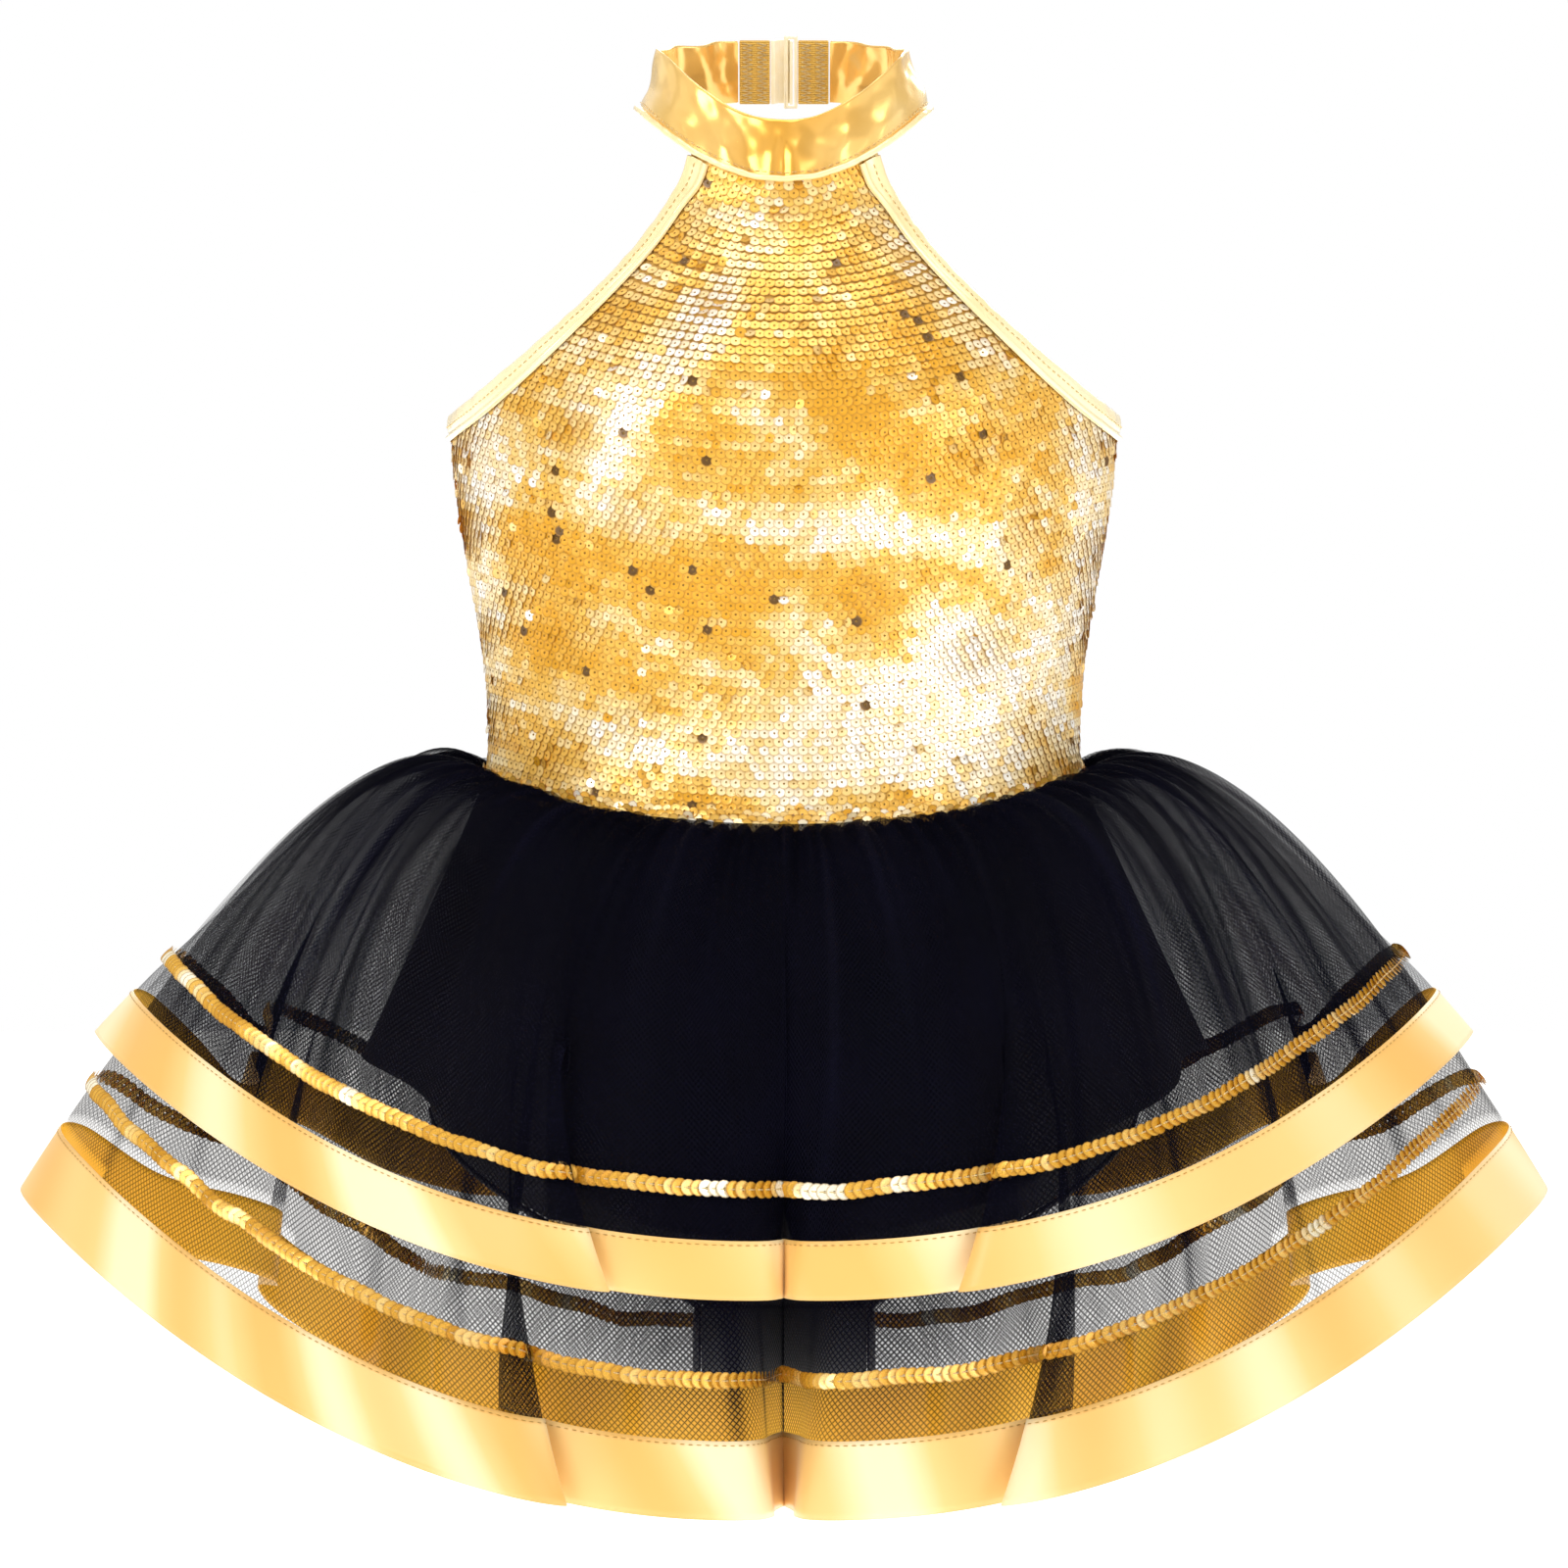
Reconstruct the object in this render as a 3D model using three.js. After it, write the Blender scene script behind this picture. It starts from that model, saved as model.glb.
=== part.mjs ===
// Halter-neck sequin uniform: foil collar with a back clasp, low-backed sequin bodice,
// two gathered tulle tiers edged with ribbon, a skirt lining and a built-in brief.
// Millimetres, +Z up, the front looks along -Y and the wearer's left is +X.
// The origin is the centre of the waist, level with the waist seam at the sides.
import * as THREE from 'three';
import { ParametricGeometry } from 'three/addons/geometries/ParametricGeometry.js';
import { mergeGeometries, mergeVertices } from 'three/addons/utils/BufferGeometryUtils.js';

// ---------------------------------------------------------------- driving dimensions
const GAP = 0.3; // clearance left between neighbouring layers

// The body form the uniform is cut for: heights of its stations and half sizes there.
const CROTCH_DROP = 190;
const CROTCH_HALF_WIDTH = 118;
const CROTCH_FRONT_DEPTH = 66;
const CROTCH_BACK_DEPTH = 62;
const HIP_DROP = 110;
const HIP_HALF_WIDTH = 130;
const HIP_FRONT_DEPTH = 88;
const HIP_BACK_DEPTH = 84;
const NARROWEST_HEIGHT = 15;
const WAIST_HALF_WIDTH = 107;
const WAIST_FRONT_DEPTH = 77;
const WAIST_BACK_DEPTH = 64;
const ARMPIT_HEIGHT = 131;
const CHEST_HALF_WIDTH = 120.5;
const CHEST_FRONT_DEPTH = 87;
const CHEST_BACK_DEPTH = 76;
const NECK_BASE_HEIGHT = 216;
const NECK_HALF_WIDTH = 51;
const NECK_FRONT_DEPTH = 47;
const NECK_BACK_DEPTH = 44;

// Seam lines.
const WAIST_FRONT_DIP = 14; // the waist seam drops to a shallow point in front
const WAIST_BACK_DIP = 6;
const BACK_NECKLINE_HEIGHT = 95; // lowest point of the scooped open back
const YOKE_HALF_WIDTH = 33; // bodice half width where it meets the collar
const ARMHOLE_CURVE = 1.5; // how hollow the armhole is cut

// Collar.
const COLLAR_HEIGHT = 22;
const COLLAR_SIDE_RISE = 27; // the collar seam climbs from the throat to the side neck
const COLLAR_BACK_RISE = 5; // and a little more to the nape
const COLLAR_TOP_HALF_WIDTH = 44;
const COLLAR_TOP_FRONT_DEPTH = 39;
const COLLAR_TOP_BACK_DEPTH = 39;
const PIPING_RADIUS = 1.2;

// Back closure.
const END_HALF_SPAN = 16.5; // half the gap in the collar that the two elastic ends fill
const END_LENGTH = 11.3;
const END_HEIGHT = 24;
const END_THICKNESS = 1.6;
const HOOK_HEIGHT = 24;
const HOOK_REACH = 8.1; // from the sewing bar to the outside of the lip
const HOOK_THICKNESS = 1;
const LIP_WIDTH = 1.1;
const LIP_CLEARANCE = 0.6; // free play of the lip in the slot of the loop
const LOOP_THICKNESS = 1;
const LOOP_BAR = 1.5;
const LOOP_RAIL = 1.2;
const LOOP_END_BAR = 1.1;

// Cloth thicknesses.
const LINING_THICKNESS = 0.6;
const SEQUIN_CLOTH_THICKNESS = 1.5;
const FOIL_THICKNESS = 1.2;
const TULLE_THICKNESS = 0.8;
const RIBBON_THICKNESS = 0.8;
const BRIEF_THICKNESS = 0.8;
const ELASTIC_THICKNESS = 1;
const WAIST_ELASTIC_WIDTH = 20;
const SEAM_TAPE_WIDTH = 4;
const SEAM_TAPE_HEIGHT = 1.2;
const BINDING_WIDTH = 8;

// Skirt tiers.
const SKIRT_HALF_WIDTH = 272;
const SKIRT_HALF_DEPTH = 156;
const SKIRT_SIDE_DROP = 158;
const SKIRT_FRONT_DROP = 262;
const LOWER_TIER_LENGTH = 256;
const UPPER_TIER_LENGTH = 197;
const UPPER_TIER_STAND = 9; // how far the upper tier stands off the lower one at its hem
const INNER_LAYER_STAND = 4; // the same for the upper tier's second layer
const FLUTE_COUNT = 14;
const FLUTE_DEPTH = 9;
const UPPER_RIBBON_WIDTH = 22;
const LOWER_RIBBON_WIDTH = 29;
const UPPER_TRIM_ABOVE_RIBBON = 19;
const LOWER_TRIM_ABOVE_RIBBON = 22;
const TRIM_WIDTH = 6;
const TRIM_THICKNESS = 1.6;
const LINING_HALF_WIDTH = 156;
const LINING_HALF_DEPTH = 118;
const LINING_SIDE_DROP = 102;
const LINING_FRONT_DROP = 165;

// Brief.
const LEG_SIDE_DROP = 120;
const GUSSET_HALF_WIDTH = 30;
const GUSSET_SAG = 32;
const LEG_ELASTIC_RADIUS = 0.8;

// ---------------------------------------------------------------- radial stacks of layers
// Each layer lies on the one inside it with GAP between them, measured from the body form.
// Where facets run different ways, one more GAP keeps the flat faces of the two layers apart.
const bodiceLining = { inner: 0, outer: LINING_THICKNESS };
const bodiceCloth = stackOn(bodiceLining, SEQUIN_CLOTH_THICKNESS);
const binding = raised(stackOn(bodiceCloth, FOIL_THICKNESS), 2 * GAP);
const brief = { inner: 0, outer: BRIEF_THICKNESS };
const waistElastic = raised(stackOn(brief, ELASTIC_THICKNESS), GAP);
const skirtLining = stackOn(waistElastic, TULLE_THICKNESS);
const seamTape = stackOn(bodiceCloth, SEAM_TAPE_WIDTH);
// The gathered tiers leave the waist almost level, so their heads lie one above the other.
const lowerTulle = { inner: 0, outer: TULLE_THICKNESS };
const upperInnerTulle = stackOn(lowerTulle, TULLE_THICKNESS);
const upperOuterTulle = stackOn(upperInnerTulle, TULLE_THICKNESS);
const collarFacing = { inner: bodiceLining.inner, outer: bodiceLining.outer };
const collarBand = stackOn(collarFacing, FOIL_THICKNESS);

function stackOn(below, thickness) {
  const inner = below.outer + GAP;
  return { inner, outer: inner + thickness };
}

function raised(layer, height) {
  return { inner: layer.inner + height, outer: layer.outer + height };
}

// ---------------------------------------------------------------- small maths
const { lerp } = THREE.MathUtils;
const QUARTER = Math.PI / 2;
const HALF = Math.PI;
const FULL = 2 * Math.PI;
const STEP = 1e-3; // step of the numeric derivatives

const easeBothEnds = (t) => (1 - Math.cos(HALF * t)) / 2;
const easeLate = (t) => easeBothEnds(t ** 1.35); // holds the chest width before the neck
const square = (value) => value * value;
const isFront = (angle) => Math.cos(angle) >= 0;

/** Unit normal of surface(u, v), on the side of the cross product of its two tangents. */
function normalOf(surface, u, v) {
  const alongU = surface(u + STEP, v).sub(surface(u - STEP, v));
  const alongV = surface(u, v + STEP).sub(surface(u, v - STEP));
  return alongU.cross(alongV).normalize();
}

// ---------------------------------------------------------------- body form
const stations = [
  { z: -CROTCH_DROP, width: CROTCH_HALF_WIDTH, front: CROTCH_FRONT_DEPTH, back: CROTCH_BACK_DEPTH },
  { z: -HIP_DROP, width: HIP_HALF_WIDTH, front: HIP_FRONT_DEPTH, back: HIP_BACK_DEPTH },
  { z: NARROWEST_HEIGHT, width: WAIST_HALF_WIDTH, front: WAIST_FRONT_DEPTH, back: WAIST_BACK_DEPTH },
  { z: ARMPIT_HEIGHT, width: CHEST_HALF_WIDTH, front: CHEST_FRONT_DEPTH, back: CHEST_BACK_DEPTH },
  { z: NECK_BASE_HEIGHT, width: NECK_HALF_WIDTH, front: NECK_FRONT_DEPTH, back: NECK_BACK_DEPTH },
];

/** Half width and half depths of the body form at height z, eased between the stations. */
function sectionAt(z) {
  const last = stations.length - 1;
  if (z <= stations[0].z) return stations[0];
  if (z >= stations[last].z) return stations[last];
  const next = stations.findIndex((station) => station.z > z);
  const below = stations[next - 1];
  const above = stations[next];
  const t = (z - below.z) / (above.z - below.z);
  const shoulder = next === last;
  return {
    width: lerp(below.width, above.width, shoulder ? easeLate(t) : easeBothEnds(t)),
    front: lerp(below.front, above.front, easeBothEnds(t)),
    back: lerp(below.back, above.back, easeBothEnds(t)),
  };
}

/** Point of an ellipse section; angle 0 is the centre front and grows toward +X. */
function sectionPoint(section, angle, z) {
  const depth = isFront(angle) ? section.front : section.back;
  return new THREE.Vector3(section.width * Math.sin(angle), -depth * Math.cos(angle), z);
}

function bodyPoint(angle, z, offset) {
  const skin = (a, h) => sectionPoint(sectionAt(h), a, h);
  return skin(angle, z).addScaledVector(normalOf(skin, angle, z), offset);
}

// ---------------------------------------------------------------- seam lines
function waistSeam(angle) {
  const dip = isFront(angle) ? WAIST_FRONT_DIP : WAIST_BACK_DIP;
  return -dip * square(Math.cos(angle));
}

function collarSeam(angle) {
  const side = NECK_BASE_HEIGHT + COLLAR_SIDE_RISE;
  if (isFront(angle)) return NECK_BASE_HEIGHT + COLLAR_SIDE_RISE * square(Math.sin(angle));
  return side + COLLAR_BACK_RISE * square(Math.cos(angle));
}

function backNeckline(angle) {
  return lerp(BACK_NECKLINE_HEIGHT, ARMPIT_HEIGHT, square(Math.sin(angle)));
}

const yokeAngle = Math.asin(YOKE_HALF_WIDTH / NECK_HALF_WIDTH);
const yokeHeight = collarSeam(yokeAngle);

/** Angle of the armhole edge at height z: a quarter turn at the armpit, less above it. */
function armholeAngle(z) {
  if (z <= ARMPIT_HEIGHT) return QUARTER;
  const climb = Math.min(1, (z - ARMPIT_HEIGHT) / (yokeHeight - ARMPIT_HEIGHT));
  const hollow = (1 - climb) ** ARMHOLE_CURVE;
  const halfWidth = lerp(YOKE_HALF_WIDTH, CHEST_HALF_WIDTH, hollow);
  return Math.asin(Math.min(1, halfWidth / sectionAt(z).width));
}

// ---------------------------------------------------------------- closed shells
/** One closed body from several surface patches that share their border points. */
function closeBody(patches) {
  for (const patch of patches) {
    patch.deleteAttribute('normal');
    patch.deleteAttribute('uv');
  }
  const merged = mergeVertices(mergeGeometries(patches), 1e-5);
  const index = Array.from(merged.index.array);
  const kept = [];
  for (let i = 0; i < index.length; i += 3) {
    const [a, b, c] = index.slice(i, i + 3);
    if (a !== b && b !== c && c !== a) kept.push(a, b, c);
  }
  merged.setIndex(signedVolume(merged, kept) < 0 ? kept.reverse() : kept);
  merged.computeVertexNormals();
  return merged;
}

function signedVolume(geometry, index) {
  const corner = (i) => new THREE.Vector3().fromBufferAttribute(geometry.attributes.position, i);
  let volume = 0;
  for (let i = 0; i < index.length; i += 3) {
    const [a, b, c] = [corner(index[i]), corner(index[i + 1]), corner(index[i + 2])];
    volume += a.dot(b.cross(c)) / 6;
  }
  return volume;
}

/**
 * A cloth panel: place(u, v, offset) with u and v from 0 to 1, between a layer's two offsets.
 * A ring has no side edges, because its u closes on itself.
 */
function clothShell(place, layer, slices, stacks, ring = false) {
  const at = (u, v, t, target) => {
    const around = ring && u >= 1 ? 0 : u;
    target.copy(place(around, v, lerp(layer.inner, layer.outer, t)));
  };
  const patch = (map, columns, rows) => new ParametricGeometry(map, columns, rows);
  const innerFace = patch((u, v, p) => at(u, v, 0, p), slices, stacks);
  innerFace.index.array.reverse(); // same diagonals as the outer face, facing the other way
  const patches = [
    patch((u, v, p) => at(u, v, 1, p), slices, stacks),
    innerFace,
    patch((u, t, p) => at(u, 0, t, p), slices, 1),
    patch((u, t, p) => at(u, 1, 1 - t, p), slices, 1),
  ];
  if (!ring) {
    patches.push(patch((t, v, p) => at(0, v, t, p), 1, stacks));
    patches.push(patch((t, v, p) => at(1, v, 1 - t, p), 1, stacks));
  }
  return closeBody(patches);
}

/** A round elastic or cord that closes on itself along a closed curve. */
function closedCord(curve, radius, steps, sides) {
  const frames = curve.computeFrenetFrames(steps, true);
  const map = (u, v, target) => {
    const station = Math.round(v * steps) % steps;
    const turn = FULL * (Math.round(u * sides) % sides) / sides;
    target.copy(curve.getPointAt(station / steps));
    target.addScaledVector(frames.normals[station], radius * Math.cos(turn));
    target.addScaledVector(frames.binormals[station], radius * Math.sin(turn));
  };
  return closeBody([new ParametricGeometry(map, sides, steps)]);
}

// ---------------------------------------------------------------- group and finishes
const uniform = new THREE.Group();
uniform.name = 'halter_uniform';

const finishes = {
  sequins: { color: 0xe0a828, roughness: 0.25, metalness: 0.8 },
  foil: { color: 0xf2c14a, roughness: 0.22, metalness: 0.85 },
  satin: { color: 0xf5ce6e, roughness: 0.4, metalness: 0.1 },
  tulle: { color: 0x0b0b12, roughness: 0.85, metalness: 0 },
  knit: { color: 0x0a0a0c, roughness: 0.8, metalness: 0 },
  elastic: { color: 0xd9b25a, roughness: 0.6, metalness: 0 },
  plastic: { color: 0xe9dcb4, roughness: 0.3, metalness: 0 },
};

function addPiece(parent, name, geometry, finish) {
  const mesh = new THREE.Mesh(geometry, new THREE.MeshStandardMaterial(finishes[finish]));
  mesh.name = name;
  parent.add(mesh);
  return mesh;
}

// Angle ranges of the front and the back panels, parted by a hairline at each side seam.
const SEAM_ANGLE = GAP / WAIST_HALF_WIDTH;
const HALF_COLUMNS = 2 * FLUTE_COUNT; // every layer at the waist has its facets at the same angles
const halves = {
  front: [-QUARTER + SEAM_ANGLE, QUARTER - SEAM_ANGLE],
  back: [QUARTER + SEAM_ANGLE, 3 * QUARTER - SEAM_ANGLE],
};

// ---------------------------------------------------------------- bodice
const ARMPIT_ROW = 0.4; // share of the front panel's rows that lie below the armpit

/** Front panel: its rows run from side seam to side seam, then from armhole to armhole. */
function frontPanelPoint(u, v, offset) {
  const lower = Math.min(1, v / ARMPIT_ROW);
  const upper = Math.max(0, (v - ARMPIT_ROW) / (1 - ARMPIT_ROW));
  const climb = lerp(upper, square(upper), 0.5);
  const edgeHeight = lerp(lerp(GAP, ARMPIT_HEIGHT, lower), yokeHeight - GAP, climb);
  const edgeAngle = armholeAngle(edgeHeight);
  const bottomAtEdge = waistSeam(edgeAngle) + GAP;
  const topAtEdge = collarSeam(edgeAngle) - GAP;
  const level = (edgeHeight - bottomAtEdge) / (topAtEdge - bottomAtEdge);
  const angle = (2 * u - 1) * (edgeAngle - SEAM_ANGLE);
  const z = lerp(waistSeam(angle) + GAP, collarSeam(angle) - GAP, Math.min(1, level));
  return bodyPoint(angle, z, offset);
}

function backPanelPoint(u, v, offset) {
  const angle = lerp(halves.back[0], halves.back[1], u);
  return bodyPoint(angle, lerp(waistSeam(angle) + GAP, backNeckline(angle), v), offset);
}

function addBodice() {
  const columns = 16;
  const frontRows = 18;
  const backRows = 4;
  addPiece(uniform, 'bodice_front',
    clothShell(frontPanelPoint, bodiceCloth, columns, frontRows), 'sequins');
  addPiece(uniform, 'bodice_lining_front',
    clothShell(frontPanelPoint, bodiceLining, columns, frontRows), 'knit');
  addPiece(uniform, 'bodice_back',
    clothShell(backPanelPoint, bodiceCloth, columns, backRows), 'sequins');
  addPiece(uniform, 'bodice_lining_back',
    clothShell(backPanelPoint, bodiceLining, columns, backRows), 'knit');
}

// ---------------------------------------------------------------- edge bindings
/** Armhole edge as angle and height; travel 0 is the armpit and 1 the collar. */
function armholeEdge(travel) {
  const top = yokeHeight - PIPING_RADIUS - 2 * GAP;
  const z = lerp(ARMPIT_HEIGHT, top, square(travel));
  return { angle: armholeAngle(z), z };
}

function backEdge(travel) {
  const angle = lerp(halves.back[0], halves.back[1], travel);
  return { angle, z: backNeckline(angle) };
}

/**
 * The place on the body form that lies a distance to one side of an edge line, as angle and
 * height. A positive distance lies on the left of the line's travel, seen from outside.
 */
function besideEdge(edge, travel, distance) {
  const here = edge(travel);
  const before = edge(Math.max(0, travel - STEP));
  const after = edge(Math.min(1, travel + STEP));
  const nudged = bodyPoint(here.angle + STEP, here.z, 0);
  const radius = nudged.distanceTo(bodyPoint(here.angle, here.z, 0)) / STEP;
  const run = (after.angle - before.angle) * radius;
  const rise = after.z - before.z;
  const length = Math.hypot(run, rise);
  const angle = here.angle - distance * rise / length / radius;
  const z = here.z + distance * run / length;
  const ceiling = collarSeam(angle) - PIPING_RADIUS - 2 * GAP;
  return { angle, z: Math.min(z, ceiling) };
}

/** A strip of the binding's width that lies on the cloth side of an edge line. */
function bindingPoint(edge, clothSide, mirror) {
  return (u, v, offset) => {
    const outer = edge(v);
    const inner = besideEdge(edge, v, clothSide * BINDING_WIDTH);
    const angle = lerp(inner.angle, outer.angle, u);
    return bodyPoint(mirror * angle, lerp(inner.z, outer.z, u), offset);
  };
}

function addBindings() {
  const strip = (edge, clothSide, mirror) => (
    clothShell(bindingPoint(edge, clothSide, mirror), binding, 2, 16));
  addPiece(uniform, 'armhole_binding_left', strip(armholeEdge, 1, 1), 'foil');
  addPiece(uniform, 'armhole_binding_right', strip(armholeEdge, 1, -1), 'foil');
  addPiece(uniform, 'back_binding', strip(backEdge, -1, 1), 'foil');
}

// ---------------------------------------------------------------- collar
/** Half sizes of the collar cone; share 0 is its seam and 1 its top edge. */
function collarSection(share) {
  return {
    width: lerp(NECK_HALF_WIDTH, COLLAR_TOP_HALF_WIDTH, share),
    front: lerp(NECK_FRONT_DEPTH, COLLAR_TOP_FRONT_DEPTH, share),
    back: lerp(NECK_BACK_DEPTH, COLLAR_TOP_BACK_DEPTH, share),
  };
}

const collarSkin = (angle, share) => (
  sectionPoint(collarSection(share), angle, collarSeam(angle) + share * COLLAR_HEIGHT));

/** Angle at which the collar ends, so that both ends stay parallel to the clasp. */
function collarEndAngle(share) {
  return HALF - Math.asin((END_HALF_SPAN + GAP) / collarSection(share).width);
}

function collarPoint(u, v, offset) {
  const angle = (2 * u - 1) * collarEndAngle(v);
  return collarSkin(angle, v).addScaledVector(normalOf(collarSkin, angle, v), offset);
}

function addCollar() {
  const columns = 32;
  addPiece(uniform, 'collar_band', clothShell(collarPoint, collarBand, columns, 2), 'foil');
  addPiece(uniform, 'collar_facing', clothShell(collarPoint, collarFacing, columns, 2), 'foil');

  const pipingOffset = Math.max(collarBand.outer, bodiceCloth.outer) + GAP + PIPING_RADIUS;
  const route = Array.from(
    { length: columns + 1 }, (_, i) => collarPoint(i / columns, 0, pipingOffset));
  const section = new THREE.Shape().absarc(0, 0, PIPING_RADIUS, 0, FULL);
  const piping = new THREE.ExtrudeGeometry(section, {
    steps: columns, curveSegments: 3, extrudePath: new THREE.CatmullRomCurve3(route),
  });
  addPiece(uniform, 'collar_piping', piping, 'foil');
}

// ---------------------------------------------------------------- back closure
/** A group in the tilted plane of the collar's back: local Y points out, local Z up. */
function closureFrame() {
  const low = collarSkin(collarEndAngle(0), 0);
  const high = collarSkin(collarEndAngle(1), 1);
  const frame = new THREE.Group();
  frame.position.set(0, (low.y + high.y) / 2, (low.z + high.z) / 2);
  frame.rotation.x = Math.atan2(low.y - high.y, high.z - low.z);
  uniform.add(frame);
  return frame;
}

/** Elastic end of the collar, folded round the sewing bar of its clasp half. */
function elasticEnd(side) {
  const end = new THREE.BoxGeometry(END_LENGTH, END_THICKNESS, END_HEIGHT);
  const middle = END_HALF_SPAN - END_LENGTH / 2;
  end.translate(side * middle, endPlane, 0);
  return end;
}

const endPlane = (collarFacing.inner + collarBand.outer) / 2;
const barEdge = END_HALF_SPAN - END_LENGTH - GAP; // where each clasp half starts
const loopOuter = endPlane + LOOP_THICKNESS / 2;
const hookInner = loopOuter + LIP_CLEARANCE;

/** Hook half: a stepped plate whose far edge turns in through the slot of the loop. */
function hookGeometry() {
  const barInner = endPlane - HOOK_THICKNESS / 2;
  const step = hookInner - barInner;
  const left = -barEdge;
  const right = left + HOOK_REACH;
  const lipEnd = endPlane - LOOP_THICKNESS / 2 - LIP_CLEARANCE;
  const outline = new THREE.Shape([
    [left, barInner], [left + 1.5, barInner], [left + 1.5 + step, hookInner],
    [right - LIP_WIDTH, hookInner], [right - LIP_WIDTH, lipEnd], [right, lipEnd],
    [right, hookInner + HOOK_THICKNESS], [left + 1 + step, hookInner + HOOK_THICKNESS],
    [left + 1, barInner + HOOK_THICKNESS], [left, barInner + HOOK_THICKNESS],
  ].map(([x, y]) => new THREE.Vector2(x, y)));
  const plate = new THREE.ExtrudeGeometry(outline, { depth: HOOK_HEIGHT, bevelEnabled: false });
  return plate.translate(0, 0, -HOOK_HEIGHT / 2);
}

/** Loop half: a tall frame with one slot, sized round the lip of the hook. */
function loopGeometry() {
  const lipRight = -barEdge + HOOK_REACH;
  const slotLeft = lipRight - LIP_WIDTH - LIP_CLEARANCE;
  const slotRight = lipRight + LIP_CLEARANCE;
  const slotHalf = HOOK_HEIGHT / 2 + LIP_CLEARANCE;
  const rectangle = (type, left, right, half) => new type([
    [left, -half], [right, -half], [right, half], [left, half],
  ].map(([x, y]) => new THREE.Vector2(x, y)));
  const outerRight = Math.max(barEdge, slotRight + LOOP_RAIL);
  const frame = rectangle(THREE.Shape, slotLeft - LOOP_BAR, outerRight, slotHalf + LOOP_END_BAR);
  frame.holes.push(rectangle(THREE.Path, slotLeft, slotRight, slotHalf));
  const plate = new THREE.ExtrudeGeometry(frame, { depth: LOOP_THICKNESS, bevelEnabled: false });
  return plate.rotateX(QUARTER).translate(0, loopOuter, 0);
}

function addClosure() {
  const frame = closureFrame();
  addPiece(frame, 'collar_end_left', elasticEnd(-1), 'elastic');
  addPiece(frame, 'collar_end_right', elasticEnd(1), 'elastic');
  addPiece(frame, 'clasp_hook', hookGeometry(), 'plastic');
  addPiece(frame, 'clasp_loop', loopGeometry(), 'plastic');
}

// ---------------------------------------------------------------- skirt
/** Gathered cloth leaves the waist outward and then falls to its hem. */
function skirtFall(share, sideness) {
  const frontReach = 1 - square(1 - share);
  const sideReach = 1.12 * share - 0.12 * square(share);
  const sideFall = sideReach ** 1.8;
  return {
    reach: lerp(frontReach, sideReach, sideness),
    fall: lerp(share ** 1.15, sideFall, sideness),
  };
}

const hemSection = { width: SKIRT_HALF_WIDTH, front: SKIRT_HALF_DEPTH, back: SKIRT_HALF_DEPTH };

function smoothSkirt(angle, share) {
  const sideness = Math.abs(Math.sin(angle)) ** 2.2;
  const { reach, fall } = skirtFall(share, sideness);
  const waist = waistLinePoint(angle, upperOuterTulle.outer);
  const hem = sectionPoint(hemSection, angle, -lerp(SKIRT_FRONT_DROP, SKIRT_SIDE_DROP, sideness));
  return new THREE.Vector3(
    lerp(waist.x, hem.x, reach), lerp(waist.y, hem.y, reach), lerp(waist.z, hem.z, fall));
}

/** Where the skirt layers are sewn on, below the bodice and outside the waist elastic. */
function waistLinePoint(angle, drop) {
  const z = waistSeam(angle) - GAP - drop;
  return bodyPoint(angle, z, waistElastic.outer + GAP);
}

const flute = (angle, share) => -FLUTE_DEPTH * share ** 1.5 * Math.cos(FLUTE_COUNT * angle);

function skirtPoint(angle, share, offset) {
  const inward = normalOf(smoothSkirt, angle, Math.max(share, 2 * STEP));
  return smoothSkirt(angle, share).addScaledVector(inward, -offset - flute(angle, share));
}

/** A band of the skirt surface; lengthAt gives the cloth length from the waist at v. */
function skirtBand(half, lengthAt, standOff = () => 0) {
  const [start, end] = halves[half] ?? [0, FULL];
  return (u, v, offset) => {
    const share = lengthAt(v) / LOWER_TIER_LENGTH;
    return skirtPoint(lerp(start, end, u), share, offset + standOff(share));
  };
}

const UPPER_ROWS = 4; // rows of facets in the upper tier, shared by the lower tier behind it
const upperRow = (v) => UPPER_TIER_LENGTH * (1 - v);

// The lower tier has one row of facets to the top of its ribbon and one more to its hem.
const LOWER_ROWS = UPPER_ROWS + 2;
const lowerRibbonRow = Math.max(
  LOWER_TIER_LENGTH - LOWER_RIBBON_WIDTH, lerp(UPPER_TIER_LENGTH, LOWER_TIER_LENGTH, 0.5));

function lowerRow(v) {
  const row = LOWER_ROWS * (1 - v);
  if (row <= UPPER_ROWS) return row / UPPER_ROWS * UPPER_TIER_LENGTH;
  if (row <= UPPER_ROWS + 1) return lerp(UPPER_TIER_LENGTH, lowerRibbonRow, row - UPPER_ROWS);
  return lerp(lowerRibbonRow, LOWER_TIER_LENGTH, row - UPPER_ROWS - 1);
}

const upperReach = UPPER_TIER_LENGTH / LOWER_TIER_LENGTH;
const upperStand = (share) => UPPER_TIER_STAND * (share / upperReach) ** 1.5;
const innerStand = (share) => INNER_LAYER_STAND * (share / upperReach) ** 2;

function addSkirtLayers() {
  for (const half of ['front', 'back']) {
    const panel = (row, layer, rows, standOff) => (
      clothShell(skirtBand(half, row, standOff), layer, HALF_COLUMNS, rows));
    addPiece(uniform, `lower_tulle_${half}`, panel(lowerRow, lowerTulle, LOWER_ROWS), 'tulle');
    addPiece(uniform, `upper_tulle_inner_${half}`,
      panel(upperRow, upperInnerTulle, UPPER_ROWS, innerStand), 'tulle');
    addPiece(uniform, `upper_tulle_outer_${half}`,
      panel(upperRow, upperOuterTulle, UPPER_ROWS, upperStand), 'tulle');
  }
}

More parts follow.
